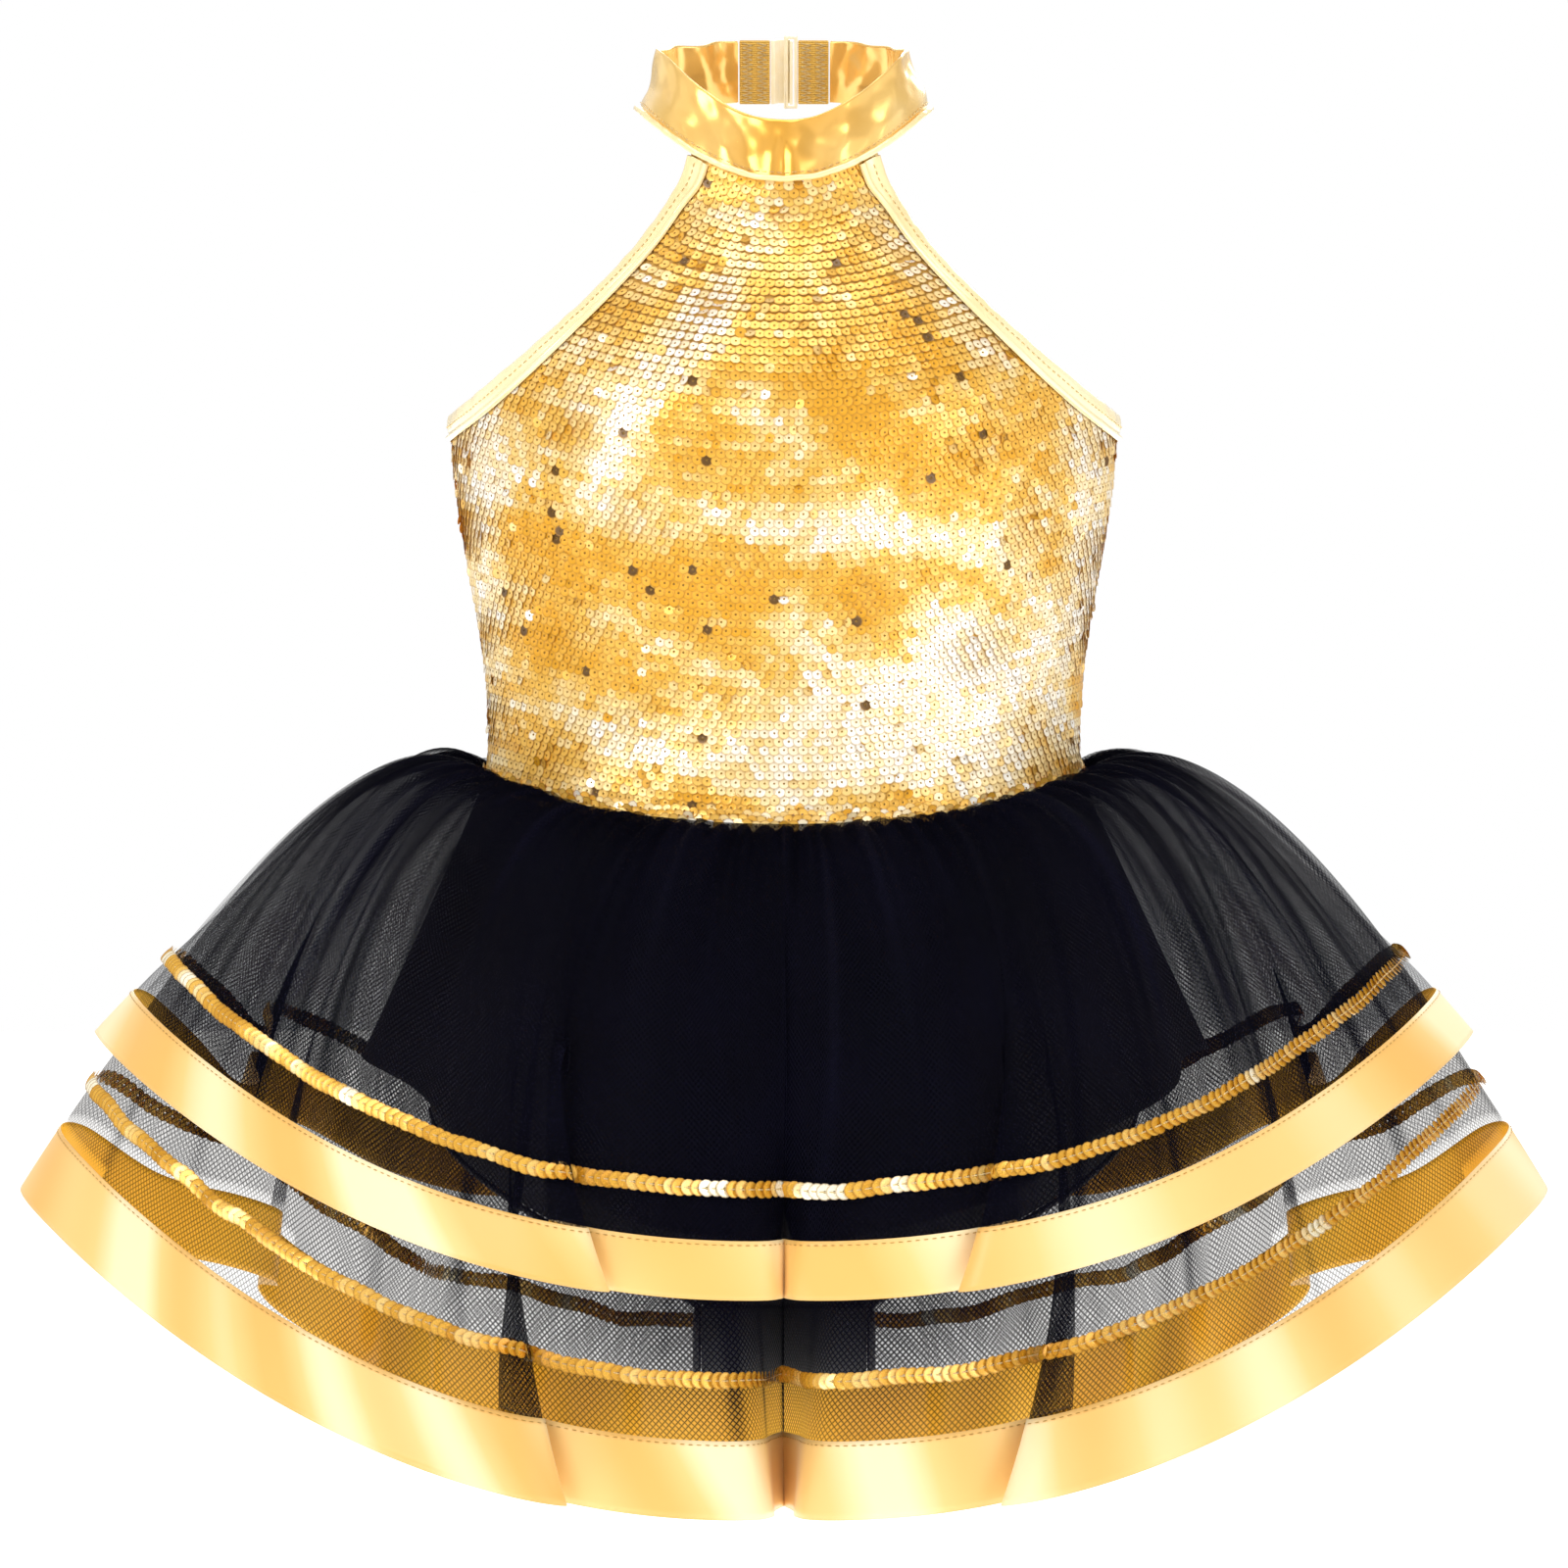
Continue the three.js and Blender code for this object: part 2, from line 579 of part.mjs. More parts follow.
/** Ribbon at a tier's hem and, above it, the strip that the trim sequins are strung on. */
function addHemTrim(tier, length, under, ribbonWidth, trimAbove, standOff) {
  const band = (bottom, width, thickness) => clothShell(
    skirtBand('all', (v) => bottom - width * v, standOff),
    raised(stackOn(under, thickness), GAP), 2 * HALF_COLUMNS, 1, true);
  const ribbonTop = length - ribbonWidth;
  addPiece(uniform, `${tier}_ribbon`, band(length, ribbonWidth, RIBBON_THICKNESS), 'satin');
  addPiece(uniform, `${tier}_sequin_trim`,
    band(ribbonTop - trimAbove, TRIM_WIDTH, TRIM_THICKNESS), 'sequins');
}

function liningPoint(half) {
  const [start, end] = halves[half];
  return (u, v, offset) => {
    const angle = lerp(start, end, u);
    const share = 1 - v;
    const sideness = square(Math.sin(angle));
    const waist = waistLinePoint(angle, upperOuterTulle.outer + 5 * GAP);
    const drop = lerp(LINING_FRONT_DROP, LINING_SIDE_DROP, sideness);
    const section = { width: LINING_HALF_WIDTH, front: LINING_HALF_DEPTH, back: LINING_HALF_DEPTH };
    const point = waist.lerp(sectionPoint(section, angle, -drop), share);
    const outward = new THREE.Vector3(Math.sin(angle), -Math.cos(angle), 0);
    return point.addScaledVector(outward, offset - skirtLining.inner);
  };
}

function addSkirt() {
  for (const half of ['front', 'back']) {
    addPiece(uniform, `skirt_lining_${half}`,
      clothShell(liningPoint(half), skirtLining, HALF_COLUMNS, 2), 'knit');
  }
  addSkirtLayers();
  addHemTrim('upper', UPPER_TIER_LENGTH, upperOuterTulle, UPPER_RIBBON_WIDTH,
    UPPER_TRIM_ABOVE_RIBBON, upperStand);
  addHemTrim('lower', LOWER_TIER_LENGTH, lowerTulle, LOWER_RIBBON_WIDTH,
    LOWER_TRIM_ABOVE_RIBBON, () => 0);
}

// ---------------------------------------------------------------- waist seam
function addWaist() {
  const ring = (low, high) => (u, v, offset) => {
    const angle = FULL * u;
    return bodyPoint(angle, waistSeam(angle) + lerp(low, high, v), offset);
  };
  addPiece(uniform, 'waist_elastic',
    clothShell(ring(-WAIST_ELASTIC_WIDTH, -GAP), waistElastic, 2 * HALF_COLUMNS, 2, true), 'elastic');
  addPiece(uniform, 'waist_seam_tape',
    clothShell(ring(GAP, GAP + SEAM_TAPE_HEIGHT), seamTape, 2 * HALF_COLUMNS, 1, true), 'satin');
}

// ---------------------------------------------------------------- brief
const gussetAngle = Math.asin(GUSSET_HALF_WIDTH / CROTCH_HALF_WIDTH);

/** Height of the leg line: level over the gusset, then rising to the side seam. */
function legLine(angle) {
  const fromCentre = isFront(angle) ? Math.abs(angle) : Math.abs(HALF - Math.abs(angle));
  const climb = Math.max(0, (fromCentre - gussetAngle) / (QUARTER - gussetAngle));
  const hollow = isFront(angle) ? climb ** 0.9 : climb ** 1.3;
  return lerp(-CROTCH_DROP, -LEG_SIDE_DROP, Math.min(1, hollow));
}

function briefPoint(half) {
  const [start, end] = halves[half];
  return (u, v, offset) => {
    const angle = lerp(start, end, u);
    return bodyPoint(angle, lerp(waistSeam(angle) - GAP, legLine(angle), square(1 - v)), offset);
  };
}

/** Gusset: a strip hung in half an ellipse between the two panels of the brief. */
function gussetPoint(u, v, offset) {
  const turn = HALF * v;
  const middle = (CROTCH_BACK_DEPTH - CROTCH_FRONT_DEPTH) / 2;
  const span = (CROTCH_BACK_DEPTH + CROTCH_FRONT_DEPTH) / 2;
  const x = lerp(-GUSSET_HALF_WIDTH, GUSSET_HALF_WIDTH, u);
  const y = middle - (span + offset) * Math.cos(turn);
  const z = -CROTCH_DROP - GAP - (GUSSET_SAG + offset) * Math.sin(turn);
  return new THREE.Vector3(x, y, z);
}

/** Leg elastic: runs just below the leg line of both panels and beside the gusset. */
function legElasticCurve(side) {
  const clear = LEG_ELASTIC_RADIUS + 4 * GAP;
  const middle = BRIEF_THICKNESS / 2;
  const points = [];
  const panelSteps = 14;
  const gussetSteps = 8;
  const firstAngle = gussetAngle + clear / CROTCH_HALF_WIDTH;
  const lastAngle = HALF - firstAngle;
  for (let i = 0; i <= 2 * panelSteps; i += 1) {
    const angle = lerp(firstAngle, lastAngle, i / (2 * panelSteps));
    const rise = legLine(angle + STEP) - legLine(angle - STEP);
    const z = legLine(angle);
    const run = bodyPoint(angle + STEP, z, 0).distanceTo(bodyPoint(angle - STEP, z, 0));
    points.push(bodyPoint(angle, z - clear * Math.hypot(1, rise / run), middle));
  }
  for (let i = 1; i < gussetSteps; i += 1) {
    const point = gussetPoint(1, 1 - i / gussetSteps, middle);
    point.x += clear;
    points.push(point);
  }
  points.forEach((point) => { point.x *= side; });
  return new THREE.CatmullRomCurve3(points, true);
}

function addBrief() {
  addPiece(uniform, 'brief_front', clothShell(briefPoint('front'), brief, HALF_COLUMNS, 6), 'knit');
  addPiece(uniform, 'brief_back', clothShell(briefPoint('back'), brief, HALF_COLUMNS, 6), 'knit');
  addPiece(uniform, 'gusset', clothShell(gussetPoint, brief, 2, 10), 'knit');
  for (const [name, side] of [['left', 1], ['right', -1]]) {
    addPiece(uniform, `leg_elastic_${name}`,
      closedCord(legElasticCurve(side), LEG_ELASTIC_RADIUS, 64, 5), 'elastic');
  }
}

addBodice();
addBindings();
addCollar();
addClosure();
addWaist();
addSkirt();
addBrief();

export default uniform;
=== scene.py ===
"""Looks of a halter-neck sequin uniform with a foil collar and a two-tier gathered tulle skirt.

Every surface is a function of two parameters worked out on a grid, in millimetres in the CAD frame:
+Z up, the front toward -Y and the wearer's left at +X. Angles start at the centre front and grow
toward +X. Meshes are written in metres.
"""
import logging
import math
from dataclasses import dataclass, field
from enum import Enum
from typing import Any, Callable, Optional, Sequence, Union

import bmesh
import bpy
import numpy as np
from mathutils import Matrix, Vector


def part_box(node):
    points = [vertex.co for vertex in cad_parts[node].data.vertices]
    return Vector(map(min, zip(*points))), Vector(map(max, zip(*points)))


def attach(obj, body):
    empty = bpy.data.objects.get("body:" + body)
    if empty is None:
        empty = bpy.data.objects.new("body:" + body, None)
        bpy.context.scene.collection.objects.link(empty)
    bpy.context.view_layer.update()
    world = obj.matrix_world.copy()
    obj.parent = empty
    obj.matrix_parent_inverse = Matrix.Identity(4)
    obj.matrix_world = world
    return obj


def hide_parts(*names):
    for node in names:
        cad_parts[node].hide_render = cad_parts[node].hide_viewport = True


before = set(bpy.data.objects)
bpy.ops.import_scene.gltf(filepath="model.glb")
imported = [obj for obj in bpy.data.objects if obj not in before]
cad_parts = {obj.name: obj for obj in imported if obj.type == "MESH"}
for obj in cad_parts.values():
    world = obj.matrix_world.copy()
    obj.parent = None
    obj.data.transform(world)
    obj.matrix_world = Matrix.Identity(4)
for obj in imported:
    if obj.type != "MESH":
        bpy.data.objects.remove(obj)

Array = np.ndarray
MM = 0.001
QUARTER = math.pi / 2
HALF = math.pi
FULL = 2 * math.pi
log = logging.getLogger("uniform")


# ---------------------------------------------------------------------- small maths
def mix(a: Any, b: Any, t: Any) -> Any:
    """Straight blend from a at t = 0 to b at t = 1."""
    return a + (b - a) * t


def ease(t: Array) -> Array:
    """Cosine ease, level at both ends."""
    return (1 - np.cos(HALF * np.clip(t, 0, 1))) / 2


def unit(vectors: Array) -> Array:
    """Vectors scaled to length 1 along their last axis."""
    return vectors / np.maximum(np.linalg.norm(vectors, axis=-1, keepdims=True), 1e-12)


def waves(x: Array, y: Array, seed: int, pitch: float, count: int = 7) -> Array:
    """Soft seeded pattern from -1 to 1: a sum of plane waves of about one pitch, all ways round.

    Args:
        x, y: places, in the units of pitch.
        seed: number of the pattern.
        pitch: mean distance from crest to crest.
        count: how many waves are added.
    """
    rng = np.random.default_rng(seed)
    way = rng.uniform(0, FULL, count)
    size = FULL / (pitch * rng.uniform(0.7, 1.5, count))
    phase = rng.uniform(0, FULL, count)
    total = sum(
        np.sin((x * math.cos(w) + y * math.sin(w)) * k + p)
        for w, k, p in zip(way, size, phase)
    )
    return total / math.sqrt(count)


def smooth_path(points: Sequence[Sequence[float]], closed: bool, steps: int) -> Array:
    """Catmull-Rom curve through the points, as evenly spaced places along its length.

    Args:
        points: places that the curve passes.
        closed: True for a loop, whose last place isn't the first one again.
        steps: number of stretches that the length is cut into.

    Returns:
        steps + 1 places of an open curve, or steps places of a loop.
    """
    p = np.asarray(points, float)
    if closed:
        ring = np.vstack([p[-1], p, p[0], p[1]])
    else:
        ring = np.vstack([2 * p[0] - p[1], p, 2 * p[-1] - p[-2]])
    t = np.linspace(0, 1, 40, endpoint=False)[None, :, None]
    a, b, c, d = (ring[i:len(ring) - 3 + i, None, :] for i in range(4))
    curve = 0.5 * (2 * b + (c - a) * t + (2 * a - 5 * b + 4 * c - d) * t**2
                   + (3 * b - a - 3 * c + d) * t**3)
    curve = np.vstack([curve.reshape(-1, p.shape[1]), ring[-2]])
    run = np.concatenate([[0], np.cumsum(np.linalg.norm(np.diff(curve, axis=0), axis=1))])
    want = np.linspace(0, run[-1], steps + 1)
    places = np.stack([np.interp(want, run, curve[:, k]) for k in range(p.shape[1])], axis=1)
    return places[:-1] if closed else places


def surface_normals(points: Array, wrap: bool) -> Array:
    """Unit normals of a grid: the cross product of its steps along u and along v."""
    if wrap:
        along_u = np.roll(points, -1, axis=1) - np.roll(points, 1, axis=1)
    else:
        along_u = np.gradient(points, axis=1)
    return unit(np.cross(along_u, np.gradient(points, axis=0)))


def smooth_ring(values: Array, reach: int) -> Array:
    """Each row averaged with as many rows on both sides, on a closed ring."""
    padded = np.concatenate([values[-reach:], values, values[:reach]])
    total = np.cumsum(np.vstack([np.zeros((1, values.shape[1])), padded]), axis=0)
    return (total[2 * reach + 1:] - total[:-2 * reach - 1]) / (2 * reach + 1)


def run_along(points: Array) -> Array:
    """Length from the first place to each place, along the last but one axis."""
    steps = np.linalg.norm(np.diff(points, axis=-2), axis=-1)
    return np.concatenate([np.zeros_like(steps[..., :1]), np.cumsum(steps, axis=-1)], axis=-1)


def cloth_area(grid: Array) -> float:
    """Area of a grid's surface, in square metres."""
    cells = np.linalg.norm(np.cross(
        grid[:-1, 1:] - grid[:-1, :-1], grid[1:, :-1] - grid[:-1, :-1]), axis=-1)
    return float(cells.sum()) * MM * MM


# ---------------------------------------------------------------------- meshes
def new_object(
    name: str,
    vertices: Array,
    faces: Array,
    material: bpy.types.Material,
    cloth: Optional[Array] = None,
    values: Optional[dict[str, Array]] = None,
) -> bpy.types.Object:
    """A smooth-shaded mesh object at the origin.

    Args:
        name: name of the piece.
        vertices: places in millimetres, one row each.
        faces: vertex numbers, one row per face, all faces with as many corners.
        material: finish of the whole piece.
        cloth: place of each vertex on the flat cloth, in millimetres, kept as the UV map.
        values: further numbers per vertex, kept as point attributes.
    """
    mesh = bpy.data.meshes.new(name)
    corners = faces.shape[1]
    mesh.vertices.add(len(vertices))
    mesh.vertices.foreach_set("co", (vertices * MM).astype(np.float32).ravel())
    mesh.loops.add(faces.size)
    mesh.loops.foreach_set("vertex_index", faces.astype(np.int32).ravel())
    mesh.polygons.add(len(faces))
    mesh.polygons.foreach_set("loop_start", np.arange(0, faces.size, corners, dtype=np.int32))
    mesh.polygons.foreach_set("use_smooth", np.ones(len(faces), dtype=bool))
    mesh.update(calc_edges=True)
    if cloth is not None:
        layer = mesh.uv_layers.new(name="cloth")
        layer.data.foreach_set("uv", (cloth[faces.ravel()] * 0.01).astype(np.float32).ravel())
    for key, numbers in (values or {}).items():
        attribute = mesh.attributes.new(key, "FLOAT", "POINT")
        attribute.data.foreach_set("value", numbers.astype(np.float32).ravel())
    mesh.materials.append(material)
    mesh.validate()
    piece = bpy.data.objects.new(name, mesh)
    bpy.context.scene.collection.objects.link(piece)
    return piece


def grid_faces(rows: int, columns: int, wrap: bool) -> Array:
    """Quads of a grid, turned so that they face the side of the grid's normals."""
    i, j = np.meshgrid(np.arange(rows - 1), np.arange(columns if wrap else columns - 1),
                       indexing="ij")
    k = (j + 1) % columns
    quads = [i * columns + j, i * columns + k, (i + 1) * columns + k, (i + 1) * columns + j]
    return np.stack(quads, axis=-1).reshape(-1, 4)


def cloth_object(
    name: str,
    points: Array,
    material: bpy.types.Material,
    wrap: bool = False,
    thickness: float = 0.0,
    values: Optional[dict[str, Array]] = None,
    inner: Optional[bpy.types.Material] = None,
    gathered: bool = False,
) -> bpy.types.Object:
    """A cloth surface from a grid of places; its rows climb and its columns go round.

    Args:
        name: name of the piece.
        points: grid of places, rows by columns by 3.
        material: finish of the cloth.
        wrap: True where the columns close on themselves.
        thickness: thickness given to the inside of the surface, 0 for a single layer.
        values: numbers for each grid place, kept as point attributes.
        inner: finish of the inner face, where it differs.
        gathered: True where each row of the flat cloth is as long as the lowest one.
    """
    rows, columns = points.shape[:2]
    across = run_along(points)
    if gathered:
        across = np.broadcast_to(across[0], (rows, columns))
    along = np.swapaxes(run_along(np.swapaxes(points, 0, 1)), 0, 1)
    cloth = np.stack([across, along], axis=-1).reshape(-1, 2)
    flat_values = {key: numbers.reshape(-1) for key, numbers in (values or {}).items()}
    piece = new_object(name, points.reshape(-1, 3), grid_faces(rows, columns, wrap), material,
                       cloth, flat_values)
    if thickness > 0:
        wall = piece.modifiers.new("wall", "SOLIDIFY")
        wall.thickness = thickness * MM
        wall.offset = -1
        if inner is not None:
            piece.data.materials.append(inner)
            wall.material_offset = 1
    return piece


def tube_points(path: Array, radius: Union[float, Array], sides: int, closed: bool) -> Array:
    """Grid of a round cord: circles set square to a path, with frames carried along it.

    Args:
        path: evenly spaced places.
        radius: one radius, or one per place.
        sides: corners of each circle.
        closed: True if the path is a loop.

    Returns:
        Grid of len(path) rows by sides columns, facing outward.
    """
    if closed:
        tangent = unit(np.roll(path, -1, axis=0) - np.roll(path, 1, axis=0))
    else:
        tangent = unit(np.gradient(path, axis=0))
    helper = np.where(np.abs(tangent[:, 2:]) < 0.9, np.array([[0.0, 0, 1]]),
                      np.array([[0.0, 1, 0]]))
    side = unit(np.cross(helper, tangent))
    up = np.cross(tangent, side)
    turn = np.linspace(0, FULL, sides, endpoint=False)[None, :, None]
    size = np.broadcast_to(np.asarray(radius, float).reshape(-1, 1, 1), (len(path), 1, 1))
    return path[:, None] + size * (np.cos(turn) * side[:, None] + np.sin(turn) * up[:, None])


def tube_object(
    name: str,
    path: Array,
    radius: Union[float, Array],
    material: bpy.types.Material,
    sides: int = 10,
    closed: bool = False,
) -> bpy.types.Object:
    """A round cord along a path; an open one is drawn in to a point at each end."""
    grid = tube_points(path, radius, sides, closed)
    if closed:
        grid = np.concatenate([grid, grid[:1]])
    else:
        ends = [np.broadcast_to(path[i], (1, sides, 3)) for i in (0, -1)]
        grid = np.concatenate([ends[0], grid, ends[1]])
    rows = len(grid)
    across = np.broadcast_to(np.linspace(0, 10, sides), (rows, sides))
    along = np.broadcast_to(run_along(grid.mean(axis=1))[:, None], (rows, sides))
    cloth = np.stack([along, across], axis=-1).reshape(-1, 2)
    piece = new_object(name, grid.reshape(-1, 3), grid_faces(rows, sides, True), material, cloth)
    weld(piece)
    return piece


def weld(piece: bpy.types.Object) -> None:
    """Merges the places that fall together, such as a loop's two ends or a drawn-in tip."""
    work = bmesh.new()
    work.from_mesh(piece.data)
    bmesh.ops.remove_doubles(work, verts=work.verts, dist=0.00001)
    bmesh.ops.recalc_face_normals(work, faces=work.faces)
    work.to_mesh(piece.data)
    work.free()


def scatter(
    name: str,
    shape: tuple[Array, Array],
    origins: Array,
    normals: Array,
    tangents: Array,
    sizes: Array,
    painted_lights: Array,
    material: bpy.types.Material,
) -> bpy.types.Object:
    """One mesh of many copies of a small shape, each turned to its own normal and tangent.

    Args:
        name: name of the piece.
        shape: places and faces of the small shape, flat side toward its +Z.
        origins, normals, tangents: one row per copy.
        sizes: scale of each copy.
        painted_lights: level of painted light of each copy, from 0 for painted shade to 1 for
            painted highlight, kept as the attribute painted_light; the distance from each copy's
            centre, from 0 to 1, is kept as the attribute edge.
        material: finish of the copies.
    """
    places, faces = shape
    normals = unit(normals)
    first = unit(tangents - normals * np.sum(tangents * normals, axis=1, keepdims=True))
    axes = np.stack([first, np.cross(normals, first), normals], axis=1)
    copies = origins[:, None] + sizes[:, None, None] * np.einsum("mk,nkj->nmj", places, axes)
    numbers = faces[None] + (np.arange(len(origins)) * len(places))[:, None, None]
    painted_light = np.repeat(painted_lights, len(places))
    reach = np.linalg.norm(places[:, :2], axis=1)
    edge = np.tile(np.clip(reach / reach.max(), 0, 1), len(origins))
    return new_object(name, copies.reshape(-1, 3), numbers.reshape(-1, faces.shape[1]), material,
                      values={"painted_light": painted_light, "edge": edge})


# ---------------------------------------------------------------------- shader maths
class Value:
    """A shader socket that Python arithmetic can be written on."""

    def __init__(self, graph: "ShaderGraph", socket: bpy.types.NodeSocket) -> None:
        """Wraps one socket of a graph."""
        self.graph = graph
        self.socket = socket

    def _math(self, operation: str, first: Any, second: Any) -> "Value":
        """Result of one Math node on two sources."""
        node = self.graph.node("ShaderNodeMath", {"operation": operation}, {0: first, 1: second})
        return Value(self.graph, node.outputs[0])

    def __add__(self, other: Any) -> "Value":
        """Sum."""
        return self._math("ADD", self, other)

    def __radd__(self, other: Any) -> "Value":
        """Sum with a plain number first."""
        return self._math("ADD", other, self)

    def __sub__(self, other: Any) -> "Value":
        """Difference."""
        return self._math("SUBTRACT", self, other)

    def __rsub__(self, other: Any) -> "Value":
        """Difference from a plain number."""
        return self._math("SUBTRACT", other, self)

    def __mul__(self, other: Any) -> "Value":
        """Product."""
        return self._math("MULTIPLY", self, other)

    def __rmul__(self, other: Any) -> "Value":
        """Product with a plain number first."""
        return self._math("MULTIPLY", other, self)

    def __gt__(self, other: Any) -> "Value":
        """1 where this is the greater, else 0."""
        return self._math("GREATER_THAN", self, other)

    def wave(self) -> "Value":
        """Sine."""
        return self._math("SINE", self, 0.0)

    def size(self) -> "Value":
        """The number without its sign."""
        return self._math("ABSOLUTE", self, 0.0)

    def least(self, other: Any) -> "Value":
        """The smaller of two."""
        return self._math("MINIMUM", self, other)

    def most(self, other: Any) -> "Value":
        """The larger of two."""
        return self._math("MAXIMUM", self, other)


class ShaderGraph:
    """A material under construction."""

    def __init__(self, name: str) -> None:
        """Starts an empty material of that name."""
        self.material = bpy.data.materials.new(name)
        self.material.use_nodes = True
        self.tree = self.material.node_tree
        self.tree.nodes.clear()

    def node(
        self,
        kind: str,
        settings: Optional[dict[str, Any]] = None,
        sockets: Optional[dict[Any, Any]] = None,
    ) -> bpy.types.Node:
        """Adds a node: its settings first, then the values or links of its input sockets.

        Args:
            kind: node type.
            settings: properties; "stops" gives a ramp's (place, colour) pairs.
            sockets: values or links, by socket name or number.
        """
        node = self.tree.nodes.new(kind)
        for key, value in (settings or {}).items():
            if key == "stops":
                self._set_stops(node.color_ramp, value)
            else:
                setattr(node, key, value)
        for key, value in (sockets or {}).items():
            source = value.socket if isinstance(value, Value) else value
            if isinstance(source, bpy.types.NodeSocket):
                self.tree.links.new(source, node.inputs[key])
            else:
                node.inputs[key].default_value = source
        return node

    @staticmethod
    def _set_stops(ramp: bpy.types.ColorRamp,
                   stops: Sequence[tuple[float, Sequence[float]]]) -> None:
        """Gives a ramp its stops, each one a place and a colour."""
        while len(ramp.elements) < len(stops):
            ramp.elements.new(1.0)
        for element, (place, colour) in zip(ramp.elements, stops):
            element.position = place
            element.color = (*colour, 1.0)

    def out(self, node: bpy.types.Node, name: Union[str, int] = 0) -> Value:
        """A node's output as a Value."""
        return Value(self, node.outputs[name])

    def cloth_place(self) -> tuple[Value, Value, bpy.types.NodeSocket]:
        """Place on the flat cloth in millimetres: along, across, and both as a vector."""
        flat = self.node("ShaderNodeUVMap", {"uv_map": "cloth"})
        scaled = self.node("ShaderNodeVectorMath", {"operation": "SCALE"},
                           {"Vector": flat.outputs[0], "Scale": 100.0})
        parts = self.node("ShaderNodeSeparateXYZ", None, {0: scaled.outputs[0]})
        return self.out(parts, 0), self.out(parts, 1), scaled.outputs[0]

    def object_place(self) -> bpy.types.NodeSocket:
        """Place in the frame, in metres."""
        return self.node("ShaderNodeTexCoord").outputs["Object"]

    def number(self, name: str) -> Value:
        """A per-vertex number of the piece."""
        return self.out(self.node("ShaderNodeAttribute", {"attribute_name": name}), "Fac")

    def noise(self, place: Any, scale: float, detail: float = 2.0, roughness: float = 0.5) -> Value:
        """Soft noise from 0 to 1."""
        node = self.node("ShaderNodeTexNoise", None, {
            "Vector": place, "Scale": scale, "Detail": detail, "Roughness": roughness})
        return self.out(node, "Fac")

    def ramp(self, factor: Any, stops: Sequence[tuple[float, Sequence[float]]]) -> Value:
        """Colour that changes with a factor from 0 to 1."""
        node = self.node("ShaderNodeValToRGB", {"stops": stops}, {"Fac": factor})
        return self.out(node, "Color")

    def blend_colours(self, factor: Any, first: Any, second: Any) -> Value:
        """Colour mix through a Mix node."""
        node = self.node("ShaderNodeMix", {"data_type": "RGBA"}, {0: factor, 6: first, 7: second})
        return self.out(node, 2)

    def bump(self, height: Value, distance: float, strength: float = 1.0) -> Value:
        """Normal bent by a height in units of distance, in metres."""
        node = self.node("ShaderNodeBump", None, {
            "Height": height, "Distance": distance, "Strength": strength})
        return self.out(node, "Normal")

    def finish(self, sockets: dict[str, Any]) -> bpy.types.Material:
        """Puts a Principled shader with these socket values at the output."""
        shader = self.node("ShaderNodeBsdfPrincipled", None, sockets)
        self.node("ShaderNodeOutputMaterial", None, {"Surface": shader.outputs[0]})
        return self.material


# ---------------------------------------------------------------------- finishes
Colour = tuple[float, float, float]


@dataclass(frozen=True)
class SequinFinish:
    """Metallised plastic sequins whose painted light and shade changes from one to the next.

    Attributes:
        name: material name.
        deep, middle, pale, painted_highlight: painted shades from the darkest sequin to the
            lightest, whose colour is a painted highlight.
        rim: colour of the painted shade at each sequin's rim.
        roughness: gloss of the metal skin.
    """

    name: str
    deep: Colour
    middle: Colour
    pale: Colour
    painted_highlight: Colour
    rim: Colour
    roughness: float

    def build(self) -> bpy.types.Material:
        """The material; the attribute painted_light picks each sequin's painted light and shade,
        and edge darkens its rim with painted shade.
        """
        graph = ShaderGraph(self.name)
        painted_light = graph.number("painted_light")
        # Painted light: near black at 0 for sequins painted in shadow, up to a painted highlight at
        # the top.
        shade = graph.ramp(painted_light, [
            (0.0, (0.12, 0.055, 0.006)), (0.05, self.deep), (0.4, self.middle), (0.68, self.pale),
            (0.9, self.painted_highlight)])
        # Painted shade: the outer part of each sequin is darkened toward the rim colour.
        rim = ((graph.number("edge") - 0.8) * 4.5).most(0.0).least(0.6)
        shade = graph.blend_colours(rim, shade, (*self.rim, 1.0))
        scuff = graph.noise(graph.object_place(), 900.0)
        return graph.finish({
            "Base Color": shade,
            "Metallic": 0.35,
            "Roughness": self.roughness + 0.14 * scuff,
            "Coat Weight": 0.25,
            "Coat Roughness": 0.12,
        })


@dataclass(frozen=True)
class FoilFinish:
    """Foil-coated stretch knit: bright metal shaded by broad soft folds, with painted shade in
    their hollows, painted highlight on their crests and toward the sides, and a faint grain.

    Attributes:
        name: material name.
        dark, light, painted_highlight: painted shades of the foil from its hollows to its crests,
            the last a painted highlight.
        crinkle: a sixth of the depth of the shaded folds, in millimetres.
        metal: share of the shine that is metallic.
        painted_side_highlight: how much paler, as painted highlight, it gets for each metre from
            the middle.
    """

    name: str
    dark: Colour
    light: Colour
    painted_highlight: Colour
    crinkle: float
    metal: float
    painted_side_highlight: float

    def build(self) -> bpy.types.Material:
        """The material, in object coordinates."""
        graph = ShaderGraph(self.name)
        place = graph.object_place()
        folds = graph.noise(place, 34.0, 1.0)
        grain = graph.noise(place, 1800.0, 1.0)
        parts = graph.node("ShaderNodeSeparateXYZ", None, {0: place})
        # Painted highlight: the foil is painted paler toward the sides.
        painted_side_light = graph.out(parts, 0).size() * self.painted_side_highlight
        # Painted light: the colour follows the same noise as the bump, painted shade in its hollows
        # and painted highlight on its crests.
        tone = graph.ramp(0.5 * folds + painted_side_light, [
            (0.2, self.dark), (0.6, self.light), (1.0, self.painted_highlight)])
        height = 0.5 * folds + 0.001 * grain
        return graph.finish({
            "Base Color": tone,
            "Metallic": self.metal,
            "Roughness": 0.16 + 0.14 * grain,
            "Coat Weight": 0.6,
            "Coat Roughness": 0.12,
            "Normal": graph.bump(height, self.crinkle * MM * 6),
        })


